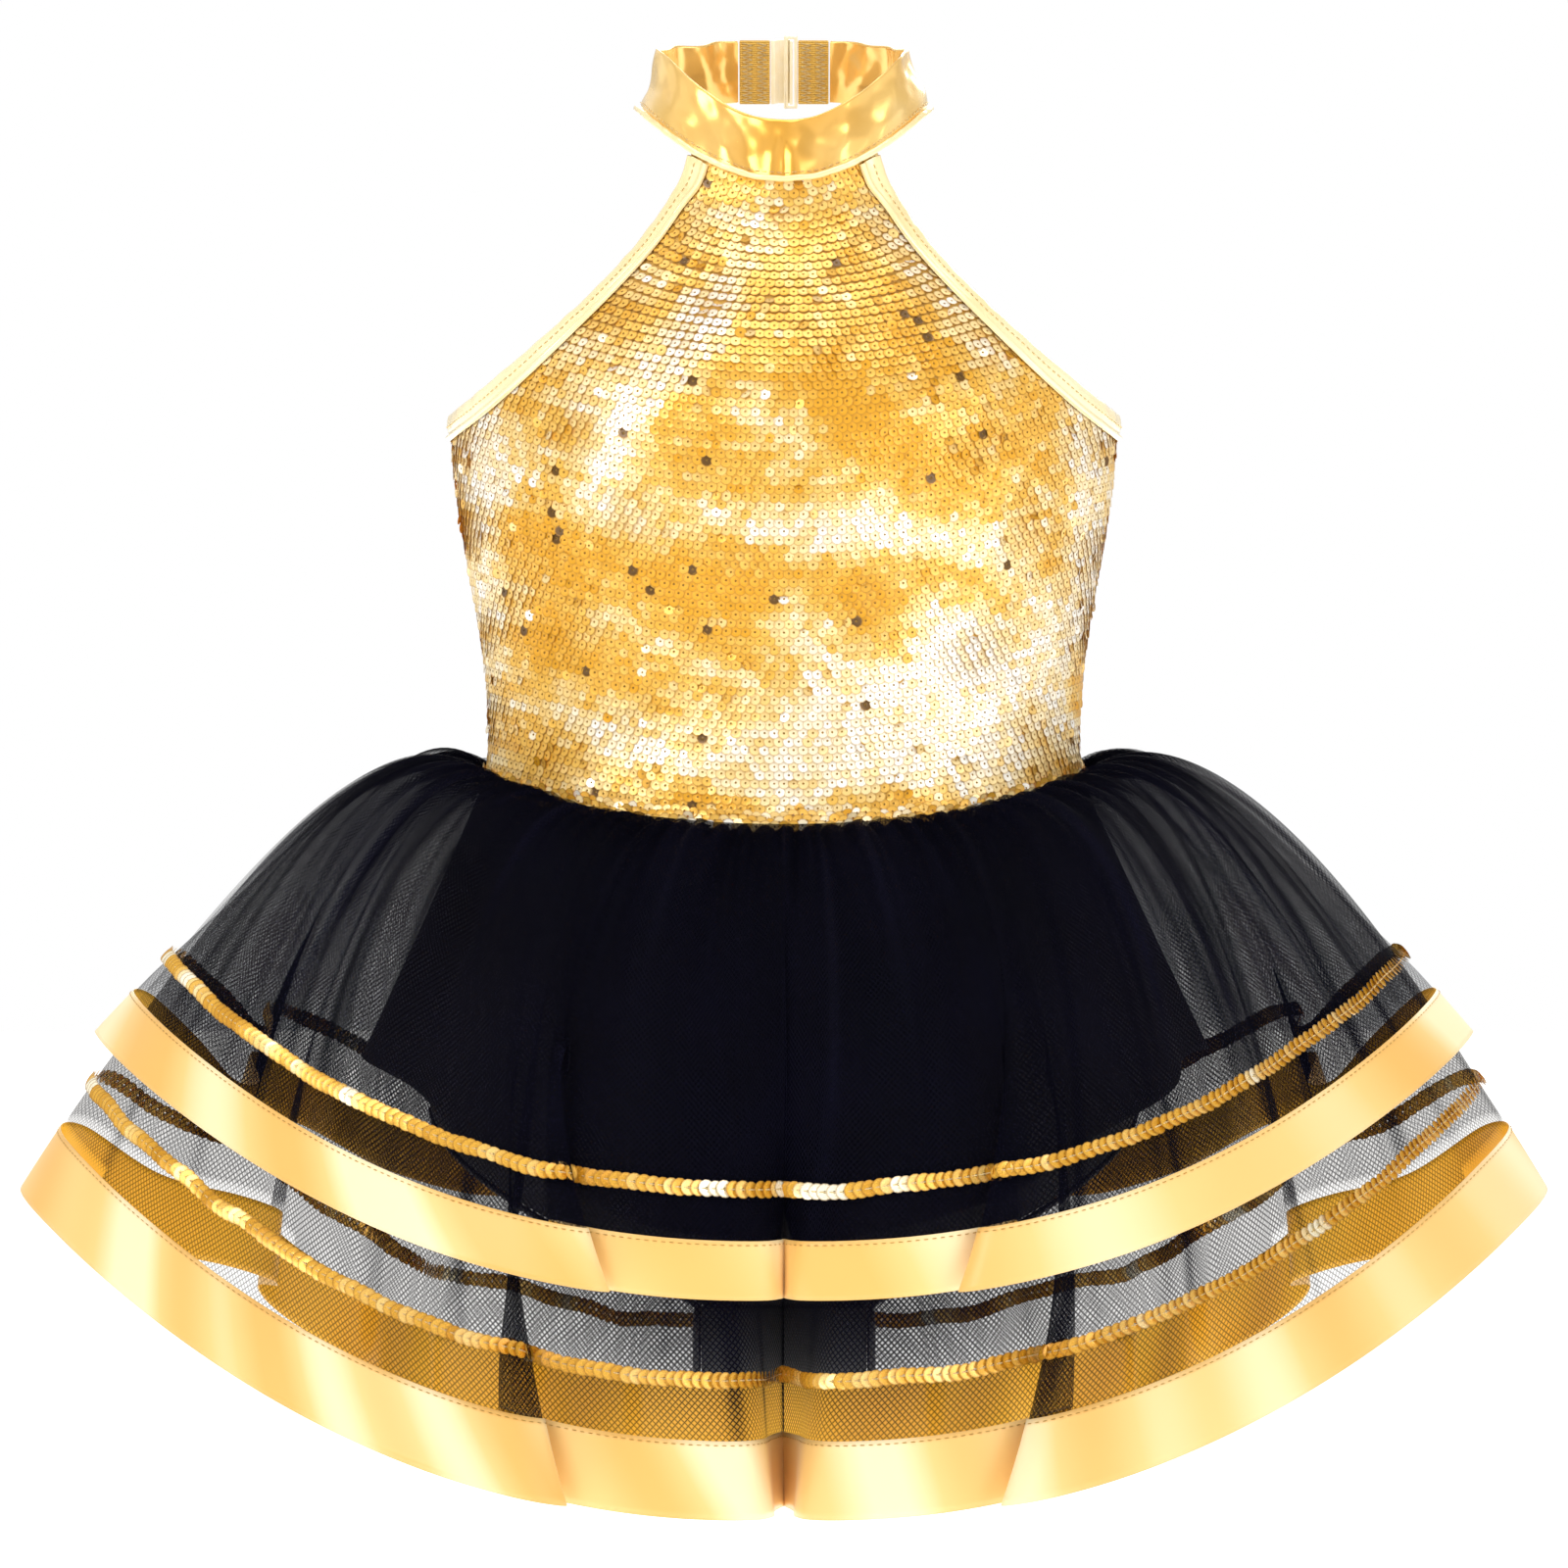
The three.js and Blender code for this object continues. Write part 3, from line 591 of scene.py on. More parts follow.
@dataclass(frozen=True)
class SatinFinish:
    """Satin ribbon: a fine woven grain and a broad painted sheen that changes along it.

    Attributes:
        name: material name.
        shade, light, painted_highlight: painted shades that the painted sheen picks, from painted
            shade to painted highlight.
        grain: size of the woven grain, in millimetres.
        painted_glow: light that the ribbon gives off as a painted glow, added to what it reflects.
    """

    name: str
    shade: Colour
    light: Colour
    painted_highlight: Colour
    grain: float
    painted_glow: float

    def build(self) -> bpy.types.Material:
        """The material, on the cloth's own map; the attribute sheen, a painted sheen, picks its
        painted shade and highlight.
        """
        graph = ShaderGraph(self.name)
        _, _, place = graph.cloth_place()
        sheen = graph.number("sheen")
        tone = graph.ramp(sheen, [(0.15, self.shade), (0.5, self.light), (0.85, self.painted_highlight)])
        weave = graph.noise(place, 1.0 / self.grain, 1.0)
        return graph.finish({
            "Base Color": tone,
            # Painted glow: the ribbon gives off its own colour as light.
            "Emission Color": tone,
            "Emission Strength": self.painted_glow,
            "Metallic": 0.0,
            "Roughness": 0.36 + 0.1 * sheen,
            "Specular IOR Level": 0.45,
            "Sheen Weight": 0.1,
            "Sheen Roughness": 0.3,
            "Normal": graph.bump(weave, 0.01 * MM, 0.3),
        })


@dataclass(frozen=True)
class NetFinish:
    """Sheer net: dark threads in a diamond mesh, denser where the cloth is gathered.

    Attributes:
        name: material name.
        thread: colour of the threads.
        mesh: width of one diamond, in millimetres.
        cover: share of light that the threads stop on flat cloth.
    """

    name: str
    thread: Colour
    mesh: float
    cover: float

    def build(self) -> bpy.types.Material:
        """The material: opacity from the threads and from the attribute gather."""
        graph = ShaderGraph(self.name)
        along, across, _ = graph.cloth_place()
        turn = FULL / self.mesh / 2
        rising = ((along + across) * turn).wave().size()
        falling = ((along - across) * turn).wave().size()
        threads = 1.0 - rising.least(falling)
        gather = graph.number("gather")
        veil = self.cover * (0.22 + 1.85 * threads * threads)
        opacity = (veil + gather * (1.0 - self.cover)).least(0.99)
        # Painted sheen: a noise lightens the threads' colour, up to 2.2 times, and roughens them.
        sheen = graph.noise(graph.object_place(), 30.0)
        tone = graph.ramp(sheen, [(0.2, self.thread), (0.9, tuple(2.2 * c for c in self.thread))])
        return graph.finish({
            "Base Color": tone,
            "Roughness": 0.6 + 0.2 * sheen,
            "Specular IOR Level": 0.03,
            "Alpha": opacity.most(0.05),
        })


@dataclass(frozen=True)
class KnitFinish:
    """Fine jersey: columns of loops, with a little lint and stretch shading.

    Attributes:
        name: material name.
        yarn, worn: main colour and the lighter one of rubbed places.
        wale: width of one column of loops, in millimetres.
        roughness: mean roughness.
        sheen: strength of the soft sheen.
    """

    name: str
    yarn: Colour
    worn: Colour
    wale: float
    roughness: float
    sheen: float

    def build(self) -> bpy.types.Material:
        """The material, on the cloth's own map."""
        graph = ShaderGraph(self.name)
        along, across, place = graph.cloth_place()
        wales = (along * (FULL / self.wale)).wave()
        loops = (across * (FULL / (0.8 * self.wale)) + 1.3 * wales).wave()
        rub = graph.noise(place, 0.05, 3.0)
        tone = graph.ramp(rub, [(0.3, self.yarn), (0.8, self.worn)])
        return graph.finish({
            "Base Color": tone,
            "Roughness": self.roughness + 0.1 * rub,
            "Sheen Weight": self.sheen,
            "Normal": graph.bump(wales * 0.5 + loops * 0.5, 0.08 * MM, 0.7),
        })


@dataclass(frozen=True)
class WebFinish:
    """Woven elastic: ribs across it that catch the light, in metallic yarn.

    Attributes:
        name: material name.
        rib, gap: colours of the ribs and of the hollows between them.
        pitch: pitch of the ribs, in millimetres.
    """

    name: str
    rib: Colour
    gap: Colour
    pitch: float

    def build(self) -> bpy.types.Material:
        """The material, in object coordinates: ribs level, yarns upright."""
        graph = ShaderGraph(self.name)
        parts = graph.node("ShaderNodeSeparateXYZ", None, {0: graph.object_place()})
        level = (graph.out(parts, 2) * (FULL / (self.pitch * MM))).wave()
        upright = (graph.out(parts, 0) * (FULL / (0.7 * self.pitch * MM))).wave()
        weave = level * 0.6 + upright * 0.4 * level + 0.5
        tone = graph.ramp(weave, [(0.1, self.gap), (0.8, self.rib)])
        return graph.finish({
            "Base Color": tone,
            "Metallic": 0.45,
            "Roughness": 0.55 - 0.15 * weave,
            "Normal": graph.bump(weave, 0.2 * MM),
        })


@dataclass(frozen=True)
class PlasticFinish:
    """Moulded plastic with a faint flow pattern and scuffs on its gloss.

    Attributes:
        name: material name.
        body, edge: colour and its slightly deeper variation.
        roughness: gloss.
    """

    name: str
    body: Colour
    edge: Colour
    roughness: float

    def build(self) -> bpy.types.Material:
        """The material, in object coordinates."""
        graph = ShaderGraph(self.name)
        flow = graph.noise(graph.object_place(), 220.0, 3.0)
        fine = graph.noise(graph.object_place(), 2500.0, 1.0)
        return graph.finish({
            "Base Color": graph.ramp(flow, [(0.3, self.edge), (0.7, self.body)]),
            "Roughness": self.roughness + 0.12 * fine,
            "Coat Weight": 0.4,
            "Coat Roughness": 0.1,
            "Normal": graph.bump(flow + 0.1 * fine, 0.08 * MM, 0.6),
        })


class Finish(Enum):
    """The uniform's finishes."""

    # The sequin, foil and satin finishes carry painted light: their last colour is a painted
    # highlight and the darker ones painted shade.
    SEQUINS = SequinFinish("gold_sequins", (0.76, 0.36, 0.012), (0.86, 0.51, 0.09),
                           (0.96, 0.76, 0.38), (1.0, 0.97, 0.88), (0.42, 0.20, 0.02), 0.26)
    TRIM = SequinFinish("gold_trim_sequins", (0.62, 0.29, 0.012), (0.80, 0.44, 0.05),
                        (0.96, 0.68, 0.24), (1.0, 0.95, 0.74), (0.30, 0.13, 0.01), 0.2)
    GROUND = KnitFinish("gold_ground_knit", (0.62, 0.34, 0.05), (0.80, 0.48, 0.11), 0.6, 0.6, 0.1)
    FOIL = FoilFinish("gold_foil_knit", (0.76, 0.35, 0.012), (0.97, 0.64, 0.20), (1.0, 0.90, 0.62),
                      0.2, 0.6, 9.0)
    EDGING = FoilFinish("pale_gold_edging", (0.93, 0.68, 0.30), (0.97, 0.80, 0.46),
                        (1.0, 0.88, 0.60), 0.05, 0.2, 5.0)
    SATIN = SatinFinish("gold_satin_ribbon", (0.78, 0.45, 0.12), (0.85, 0.55, 0.20),
                        (0.94, 0.76, 0.46), 0.5, 0.0)
    # The ribbon's back has a painted glow.
    SATIN_BACK = SatinFinish("gold_satin_ribbon_back", (0.66, 0.31, 0.012), (0.80, 0.40, 0.02),
                             (0.90, 0.48, 0.04), 0.5, 0.3)
    NET = NetFinish("black_net", (0.0013, 0.0013, 0.0042), 2.4, 0.36)
    INNER_NET = NetFinish("black_inner_net", (0.0010, 0.0010, 0.003), 2.1, 0.14)
    LINING = KnitFinish("black_lining_knit", (0.0004, 0.0004, 0.001), (0.0009, 0.0009, 0.002), 0.5,
                        0.75, 0.0)
    BODICE_LINING = KnitFinish("tan_lining_knit", (0.62, 0.42, 0.16), (0.72, 0.52, 0.24), 0.5,
                               0.7, 0.1)
    ELASTIC = WebFinish("gold_woven_elastic", (0.90, 0.60, 0.15), (0.68, 0.38, 0.05), 0.8)
    SHIRRED = KnitFinish("black_edge_elastic", (0.002, 0.002, 0.003), (0.006, 0.006, 0.008), 0.8,
                         0.6, 0.0)
    THREAD = WebFinish("gold_thread", (1.0, 0.86, 0.52), (0.85, 0.58, 0.2), 0.35)
    SEWING = WebFinish("tan_sewing_thread", (0.72, 0.46, 0.12), (0.45, 0.26, 0.05), 0.35)
    CLASP = PlasticFinish("pale_clasp_plastic", (0.96, 0.89, 0.70), (0.93, 0.82, 0.56), 0.2)


_materials: dict[Finish, bpy.types.Material] = {}


def material(finish: Finish) -> bpy.types.Material:
    """A finish's material, built once."""
    if finish not in _materials:
        _materials[finish] = finish.value.build()
    return _materials[finish]


# ---------------------------------------------------------------------- the body form
@dataclass(frozen=True)
class Layers:
    """Distances of the cloth layers from the body form, in millimetres."""

    lining: float = 0.5
    cloth: float = 1.0
    sequins: float = 1.5
    collar: float = 2.1


@dataclass(frozen=True)
class Cuts:
    """Depths of the flat pieces of cloth before they are sewn, in metres."""

    collar: float = 0.023
    waist_elastic: float = 0.0195
    waist_tape: float = 0.0101
    lining: float = 0.165
    brief: float = 0.185


CUTS = Cuts()


@dataclass
class BodyForm:
    """The body that the uniform is cut for, and the seam lines on it.

    The stations are the CAD's: heights, half widths and half depths in millimetres, eased
    between; those that show in the frame's boxes are read from them.
    """

    heights: Array = field(init=False)
    widths: Array = field(init=False)
    fronts: Array = field(init=False)
    backs: Array = field(init=False)
    neck_height: float = field(init=False)
    armpit_height: float = field(init=False)
    front_dip: float = 14.0
    back_dip: float = 6.0
    back_neckline: float = 95.0
    side_rise: float = 27.0
    nape_rise: float = 5.0
    yoke_half: float = 33.0
    armhole_curve: float = 1.5

    def __post_init__(self) -> None:
        """Reads the chest, the neck and the crotch from the frame."""
        lining_high = node_box("bodice_lining_front")[1]
        back_high = node_box("bodice_back")[1]
        facing_low, facing_high = node_box("collar_facing")
        skin = 0.6
        self.armpit_height = back_high[2]
        self.neck_height = facing_low[2]
        crotch = node_box("brief_front")[0][2]
        self.heights = np.array([crotch, -110.0, 15.0, self.armpit_height, self.neck_height])
        self.widths = np.array([118.0, 130.0, 107.0, lining_high[0] - skin, facing_high[0] - skin])
        self.fronts = np.array([66.0, 88.0, 77.0, 87.0, 47.0])
        self.backs = np.array([62.0, 84.0, 64.0, 76.0, 44.0])

    def section(self, z: Array) -> tuple[Array, Array, Array]:
        """Half width, front depth and back depth at heights z, eased between the stations."""
        z = np.clip(z, self.heights[0], self.heights[-1])
        above = np.clip(np.searchsorted(self.heights, z, side="right"), 1, len(self.heights) - 1)
        t = (z - self.heights[above - 1]) / (self.heights[above] - self.heights[above - 1])
        late = np.where(above == len(self.heights) - 1, np.clip(t, 0, 1) ** 1.35, t)

        def between(values: Array, share: Array) -> Array:
            """Value between the stations below and above."""
            return mix(values[above - 1], values[above], ease(share))

        return between(self.widths, late), between(self.fronts, t), between(self.backs, t)

    def skin(self, angle: Array, z: Array) -> Array:
        """Point of the form: (width sin angle, -depth cos angle, z), depth by front or back."""
        angle, z = np.broadcast_arrays(np.asarray(angle, float), np.asarray(z, float))
        width, front, back = self.section(z)
        depth = np.where(np.cos(angle) >= 0, front, back)
        return np.stack([width * np.sin(angle), -depth * np.cos(angle), z], axis=-1)

    def normal(self, angle: Array, z: Array) -> Array:
        """Outward unit normal of the form."""
        step = 1e-3
        round_it = self.skin(angle + step, z) - self.skin(angle - step, z)
        up_it = self.skin(angle, z + step) - self.skin(angle, z - step)
        return unit(np.cross(round_it, up_it))

    def point(self, angle: Array, z: Array, offset: Any) -> Array:
        """Point at a distance outside the form."""
        angle, z = np.broadcast_arrays(np.asarray(angle, float), np.asarray(z, float))
        distance = np.broadcast_to(offset, angle.shape)[..., None]
        return self.skin(angle, z) + distance * self.normal(angle, z)

    def waist_seam(self, angle: Array) -> Array:
        """Height of the waist seam: level at the sides, dipping in front and a little behind."""
        dip = np.where(np.cos(angle) >= 0, self.front_dip, self.back_dip)
        return -dip * np.cos(angle) ** 2

    def collar_seam(self, angle: Array) -> Array:
        """Height of the collar seam, climbing from the throat to the nape."""
        front = self.neck_height + self.side_rise * np.sin(angle) ** 2
        back = self.neck_height + self.side_rise + self.nape_rise * np.cos(angle) ** 2
        return np.where(np.cos(angle) >= 0, front, back)

    def back_edge(self, angle: Array) -> Array:
        """Height of the scooped back neckline."""
        return mix(self.back_neckline, self.armpit_height, np.sin(angle) ** 2)

    @property
    def yoke_height(self) -> float:
        """Height where the armhole meets the collar."""
        return float(self.collar_seam(np.array(math.asin(self.yoke_half / self.widths[-1]))))

    def armhole_angle(self, z: Array) -> Array:
        """Angle of the armhole edge at height z, a quarter turn at and below the armpit."""
        climb = np.clip((z - self.armpit_height) / (self.yoke_height - self.armpit_height), 0, 1)
        half = mix(self.yoke_half, self.widths[3], (1 - climb) ** self.armhole_curve)
        share = np.clip(half / self.section(z)[0], 0, 1)
        return np.where(z <= self.armpit_height, QUARTER, np.arcsin(share))


def node_box(node: str) -> tuple[list[float], list[float]]:
    """A CAD node's lowest and highest corner, in millimetres."""
    low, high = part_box(node)
    return [c / MM for c in low], [c / MM for c in high]


# ---------------------------------------------------------------------- fixing to the frame
GARMENT = "garment"


def place(
    piece: bpy.types.Object,
    slot: str,
    nodes: Sequence[str] = (),
    body: str = GARMENT,
) -> bpy.types.Object:
    """Sets a finished piece on its body and reports it.

    Args:
        piece: the object, at the origin.
        slot: the record's material slot; not used.
        nodes: CAD nodes that it stands for.
        body: CAD body that it moves with.
    """
    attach(piece, body)
    if nodes:
        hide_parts(*nodes)
    log.info("%s: %d faces on %s", piece.name, len(piece.data.polygons), body)
    return piece


# ---------------------------------------------------------------------- sequins
def sequin_shape(radius: float, hole: float, cup: float, sides: int) -> tuple[Array, Array]:
    """A cupped sequin: three rings of corners, flat round the hole and lifted at the rim.

    The height grows from 0 at the flat to cup at the rim, on the side of the normal.

    Args:
        radius: outer radius.
        hole: radius of the central hole.
        cup: height of the rim.
        sides: corners of each ring.
    """
    turn = np.linspace(0, FULL, sides, endpoint=False)
    rings = [(hole, 0.5 * cup), (0.45 * radius, 0.0), (radius, cup)]
    places = [np.stack([r * np.cos(turn), r * np.sin(turn), np.full(sides, h)], axis=1)
              for r, h in rings]
    faces = grid_faces(len(rings), sides, True)[:, ::-1]
    return np.vstack(places), faces


@dataclass(frozen=True)
class SoftFold:
    """A long soft fold of the bodice: it tilts the sequins a little toward the light or away from
    it, and paints highlight on them where lift is above 0 and shade where it is below 0.

    Attributes:
        x, z: its middle, in the frame's millimetres.
        length, width: half length and half width.
        turn: angle of its length above the horizontal, in degrees.
        lift: strength of the painted highlight on its sequins, and of painted shade where it is
            below 0.
    """

    x: float
    z: float
    length: float
    width: float
    turn: float
    lift: float

    def strength(self, x: Array, z: Array) -> Array:
        """Its share at each place, lift * exp(-(along / length)^2 - (across / width)^2)."""
        way = math.radians(self.turn)
        along = ((x - self.x) * math.cos(way) + (z - self.z) * math.sin(way)) / self.length
        across = ((z - self.z) * math.cos(way) - (x - self.x) * math.sin(way)) / self.width
        return self.lift * np.exp(-along**2 - across**2)


# Painted light of the front: each fold paints highlight, and shade where lift is below 0, on the
# sequins under it, and tilts them a little.
FRONT_FOLD_LIGHT_AND_SHADE = (
    SoftFold(-22, 176, 15, 7, 60, 1.0),
    SoftFold(-36, 157, 22, 9, 51, 1.3),
    SoftFold(-60, 122, 21, 10, 68, 1.0),
    SoftFold(22, 91, 54, 7.5, -5, 1.1),
    SoftFold(58, 38, 58, 19, 18, 1.3),
    SoftFold(45, 12, 62, 15, 2, 1.1),
    SoftFold(-62, 15, 26, 10, -24, 0.7),
    SoftFold(-112, 90, 80, 11, 86, 1.0),
    SoftFold(112, 90, 80, 11, 94, 1.0),
    SoftFold(-8, 205, 18, 7, 5, 0.6),
    SoftFold(48, 188, 28, 8, -52, 0.5),
    SoftFold(20, 148, 40, 20, -60, -0.5),
    SoftFold(-38, 73, 40, 11, -5, -0.6),
    SoftFold(-86, 52, 32, 11, 76, -0.5),
    SoftFold(60, 120, 36, 12, -10, -0.4),
    SoftFold(16, 70, 34, 8, 0, -0.4),
)


@dataclass
class SequinCloth:
    """Sequin rows over the bodice.

    Attributes:
        form: body form with its seam lines.
        radius: radius of a sequin.
        pitch: distance along a row.
        row_pitch: distance from row to row.
    """

    form: BodyForm
    radius: float = 2.2
    pitch: float = 3.45
    row_pitch: float = 3.0
    layers: Layers = Layers()

    def light_catch(self, points: Array) -> Array:
        """How far the cloth's folds turn the sequins to the light, about -1 to 1; it tilts them a
        little and sets their painted highlight and shade.

        The front has its own soft folds of painted light and shade; slow waves, stretched sideways,
        ruffle it everywhere.
        """
        x, z = points[:, 0], points[:, 2]
        front = np.clip(-points[:, 1] / 30, 0, 1)
        folds = sum(fold.strength(x, z) for fold in FRONT_FOLD_LIGHT_AND_SHADE)
        bent_x = x + 0.5 * points[:, 1]
        ruffle = 0.3 * waves(0.6 * bent_x, z, 11, 30) + 0.2 * waves(bent_x, z, 12, 13)
        return folds * front + ruffle * (1.4 - 0.5 * front)

    def rows(self, angles: Callable[[float], Array], heights: Callable[[Array, float], Array],
             levels: Array) -> Array:
        """Places of sequins in rows, each row offset by half a pitch from the last.

        Args:
            angles: the two end angles of the row at a level.
            heights: height of the row at each angle for a level.
            levels: one number for each row.

        Returns:
            Rows of (angle, height).
        """
        found = []
        for number, level in enumerate(levels):
            start, end = angles(level)
            angle = np.linspace(start, end, 400)
            length = run_along(self.form.skin(angle, heights(angle, level)))
            middle = length[-1] / 2
            count = int(middle / self.pitch)
            steps = (np.arange(-count, count + 1) + 0.5 * (number % 2)) * self.pitch + middle
            steps = steps[(steps > 0.6) & (steps < length[-1] - 0.6)]
            at = np.interp(steps, length, angle)
            found.append(np.stack([at, heights(at, level)], axis=1))
        return np.vstack(found)

    def front_rows(self) -> Array:
        """Rows of the front panel, between the side seams and the armholes."""
        form = self.form
        count = int((form.neck_height + form.front_dip) / self.row_pitch)

        def heights(angle: Array, level: float) -> Array:
            """Heights of the row at a level."""
            return mix(form.waist_seam(angle) + 1.0, form.collar_seam(angle) - 1.0, level)

        def angles(level: float) -> Array:
            """Ends of the row at a level."""
            trial = np.linspace(0.2, QUARTER, 300)
            inside = trial <= form.armhole_angle(heights(trial, level)) + 1e-6
            edge = trial[inside].max()
            return np.array([-edge, edge])

        return self.rows(angles, heights, np.linspace(0, 1, count))

    def back_rows(self) -> Array:
        """Rows of the back panel, under the scooped neckline."""
        form = self.form
        count = int((form.armpit_height + form.back_dip) / self.row_pitch)

        def heights(angle: Array, level: float) -> Array:
            """Heights of the row at a level."""
            return mix(form.waist_seam(angle) + 1.0, form.armpit_height, level)

        def angles(level: float) -> Array:
            """Ends of the row at a level."""
            trial = np.linspace(QUARTER, HALF, 300)
            inside = heights(trial, level) <= form.back_edge(trial) - 1.0
            edge = trial[inside].max() if inside.any() else QUARTER + 0.01
            return np.array([QUARTER, edge])

        one_side = self.rows(angles, heights, np.linspace(0, 0.99, count))
        other = np.stack([FULL - one_side[:, 0], one_side[:, 1]], axis=1)
        both = np.vstack([one_side, other[other[:, 0] > HALF + 0.012]])
        return both

    def build(self, name: str, spots: Array, seed: int) -> bpy.types.Object:
        """One mesh of sequins at (angle, height) spots, tilted like shingles and by the drape."""
        rng = np.random.default_rng(seed)
        angle, z = spots[:, 0], spots[:, 1]
        normal = self.form.normal(angle, z)
        tangent = unit(self.form.skin(angle + 1e-3, z) - self.form.skin(angle - 1e-3, z))
        upward = np.cross(normal, tangent)
        origin = self.form.point(angle, z, self.layers.sequins)
        caught = self.light_catch(origin)
        loose = rng.random(len(angle)) < 0.08
        jitter = np.where(loose, 0.22, 0.03)
        side = (0.1 * waves(origin[:, 0], origin[:, 2], 13, 40)
                + rng.normal(0, 1, len(angle)) * jitter)
        up = 0.13 + 0.06 * caught + rng.normal(0, 1, len(angle)) * jitter
        facing = unit(normal + side[:, None] * tangent + up[:, None] * upward)
        origin = origin + normal * rng.uniform(-0.1, 0.1, (len(angle), 1))
        # Painted light: each sequin's level follows the light catch, lighter on folds painted as
        # lit and darker on those painted in shade, with scatter.
        painted_light = (0.38 + 0.45 * np.tanh(1.7 * caught)
                + rng.normal(0, 0.09, len(angle)) * (1 + 1.5 * loose))
        painted_light = np.clip(painted_light, 0.06, 1)
        # Painted shade: a few sequins, more of them in the painted shade, are painted near black.
        painted_light = np.where(rng.random(len(angle)) < 0.006 + 0.02 * (caught < -0.35), 0.0, painted_light)
        shape = sequin_shape(self.radius, 0.42, 0.14, 10)
        sizes = rng.uniform(0.94, 1.05, len(angle))
        return scatter(name, shape, origin, facing, tangent, sizes, painted_light, material(Finish.SEQUINS))


# ---------------------------------------------------------------------- bodice
@dataclass
class Bodice:
    """Sequin bodice: ground cloth, sequins, lining, and the foil bindings of its edges.

    Attributes:
        form: body form with its seam lines.
        binding_width: width of the bindings.
    """

    form: BodyForm
    binding_width: float = 8.0
    layers: Layers = Layers()

    def front_grid(self, offset: float, rows: int = 110, columns: int = 120) -> Array:
        """Front panel: rows climb from the waist to the collar, narrowing at the armholes."""
        form = self.form
        v = np.linspace(0, 1, rows)[:, None]
        u = np.linspace(-1, 1, columns)[None, :]
        lower = np.clip(v / 0.4, 0, 1)
        upper = np.clip((v - 0.4) / 0.6, 0, 1)
        top = form.yoke_height - 0.2
        edge_z = mix(mix(0.3, form.armpit_height, lower), top, mix(upper, upper**2, 0.6))
        edge = form.armhole_angle(edge_z)
        low, high = form.waist_seam(edge) + 0.2, form.collar_seam(edge) - 0.2
        level = np.clip((edge_z - low) / (high - low), 0, 1)
        angle = u * edge
        z = mix(form.waist_seam(angle) + 0.2, form.collar_seam(angle) - 0.2, level)
        return form.point(angle, z, offset)

    def back_grid(self, offset: float, rows: int = 60, columns: int = 120) -> Array:
        """Back panel: rows climb from the waist to the scooped neckline."""
        angle = np.linspace(QUARTER, 3 * QUARTER, columns)[None, :]
        v = np.linspace(0, 1, rows)[:, None]
        z = mix(self.form.waist_seam(angle) + 0.2, self.form.back_edge(angle), v)
        return self.form.point(angle, z, offset)

    def declare(self, grid: Array) -> None:
        """Works out a panel's width, length and area as a stretched sheet of its own cut size, and
        keeps none of them.
        """
        width = run_along(grid).max() * MM
        length = run_along(np.swapaxes(grid, 0, 1)).max() * MM
        area = min(cloth_area(grid), width * length)

    def build_panels(self) -> None:
        """Ground cloth and lining of the front and the back."""
        lining = self.layers.lining
        cloth = self.layers.cloth
        for half, grid_of in (("front", self.front_grid), ("back", self.back_grid)):
            ground = grid_of(cloth)
            piece = cloth_object(f"bodice_{half}_ground", ground, material(Finish.GROUND))
            place(piece, "sequin_cloth", [f"bodice_{half}"])
            self.declare(ground)
            inner = grid_of(lining)[:, ::-1]
            piece = cloth_object(f"bodice_{half}_lining", inner, material(Finish.BODICE_LINING))
            place(piece, "lining_knit", [f"bodice_lining_{half}"])
            self.declare(inner)

    def build_sequins(self) -> None:
        """Sequins in front, in two halves, and behind."""
        cloth = SequinCloth(self.form)
        front = cloth.front_rows()
        for name, spots, seed in (
            ("left", front[front[:, 0] >= 0], 31), ("right", front[front[:, 0] < 0], 32)):
            place(cloth.build(f"bodice_front_sequins_{name}", spots, seed), "sequin_cloth")
        place(cloth.build("bodice_back_sequins", cloth.back_rows(), 33), "sequin_cloth")
        place(self.scallops(cloth), "sequin_cloth")

    def scallops(self, cloth: SequinCloth) -> bpy.types.Object:
        """Last row of sequins, hanging over the waist seam as a scalloped edge all round."""
        form = self.form
        rng = np.random.default_rng(35)
        fine = np.linspace(0, FULL, 4000)
        length = run_along(form.skin(fine, form.waist_seam(fine)))
        count = int(length[-1] / (0.94 * cloth.pitch))
        spots = []
        for row, (drop, out) in enumerate(((1.2, 2.8), (-0.6, 3.6), (-2.4, 4.4))):
            at = np.interp((np.arange(count) + 0.5 * row) * length[-1] / count, length, fine)
            wander = 0.5 * np.sin(at * 31) + rng.normal(0, 0.25, count)
            spots.append(np.stack([at, form.waist_seam(at) + drop + wander,
                                   np.full(count, out)], axis=1))
        spots = np.vstack(spots)
        angle, z, out = spots.T
        normal = form.normal(angle, z)
        tangent = unit(form.skin(angle + 1e-3, z) - form.skin(angle - 1e-3, z))
        upward = np.cross(normal, tangent)
        tilt = rng.normal(0, 0.16, (len(angle), 2)) + np.array([0.0, 0.05])
        facing = normal + tilt[:, :1] * tangent + tilt[:, 1:] * upward
        # Painted light: each scallop sequin gets a random level, from painted shade to painted
        # highlight.
        painted_light = np.clip(rng.normal(0.45, 0.2, len(angle)), 0.05, 1)
        shape = sequin_shape(2.2, 0.42, 0.14, 10)
        return scatter("waist_scallop_sequins", shape, form.point(angle, z, out), facing, tangent,
                       rng.uniform(0.95, 1.06, len(angle)), painted_light, material(Finish.SEQUINS))

    def armhole_edge(self, travel: Array) -> tuple[Array, Array]:
        """Armhole edge as angle and height, from the armpit at 0 to the collar at 1."""
        z = mix(self.form.armpit_height, self.form.yoke_height - 1.2, travel**2)
        return self.form.armhole_angle(z), z

    def neckline(self, travel: Array) -> tuple[Array, Array]:
        """Back neckline as angle and height, from one side seam to the other."""
        angle = mix(QUARTER, 3 * QUARTER, travel)
        return angle, self.form.back_edge(angle)

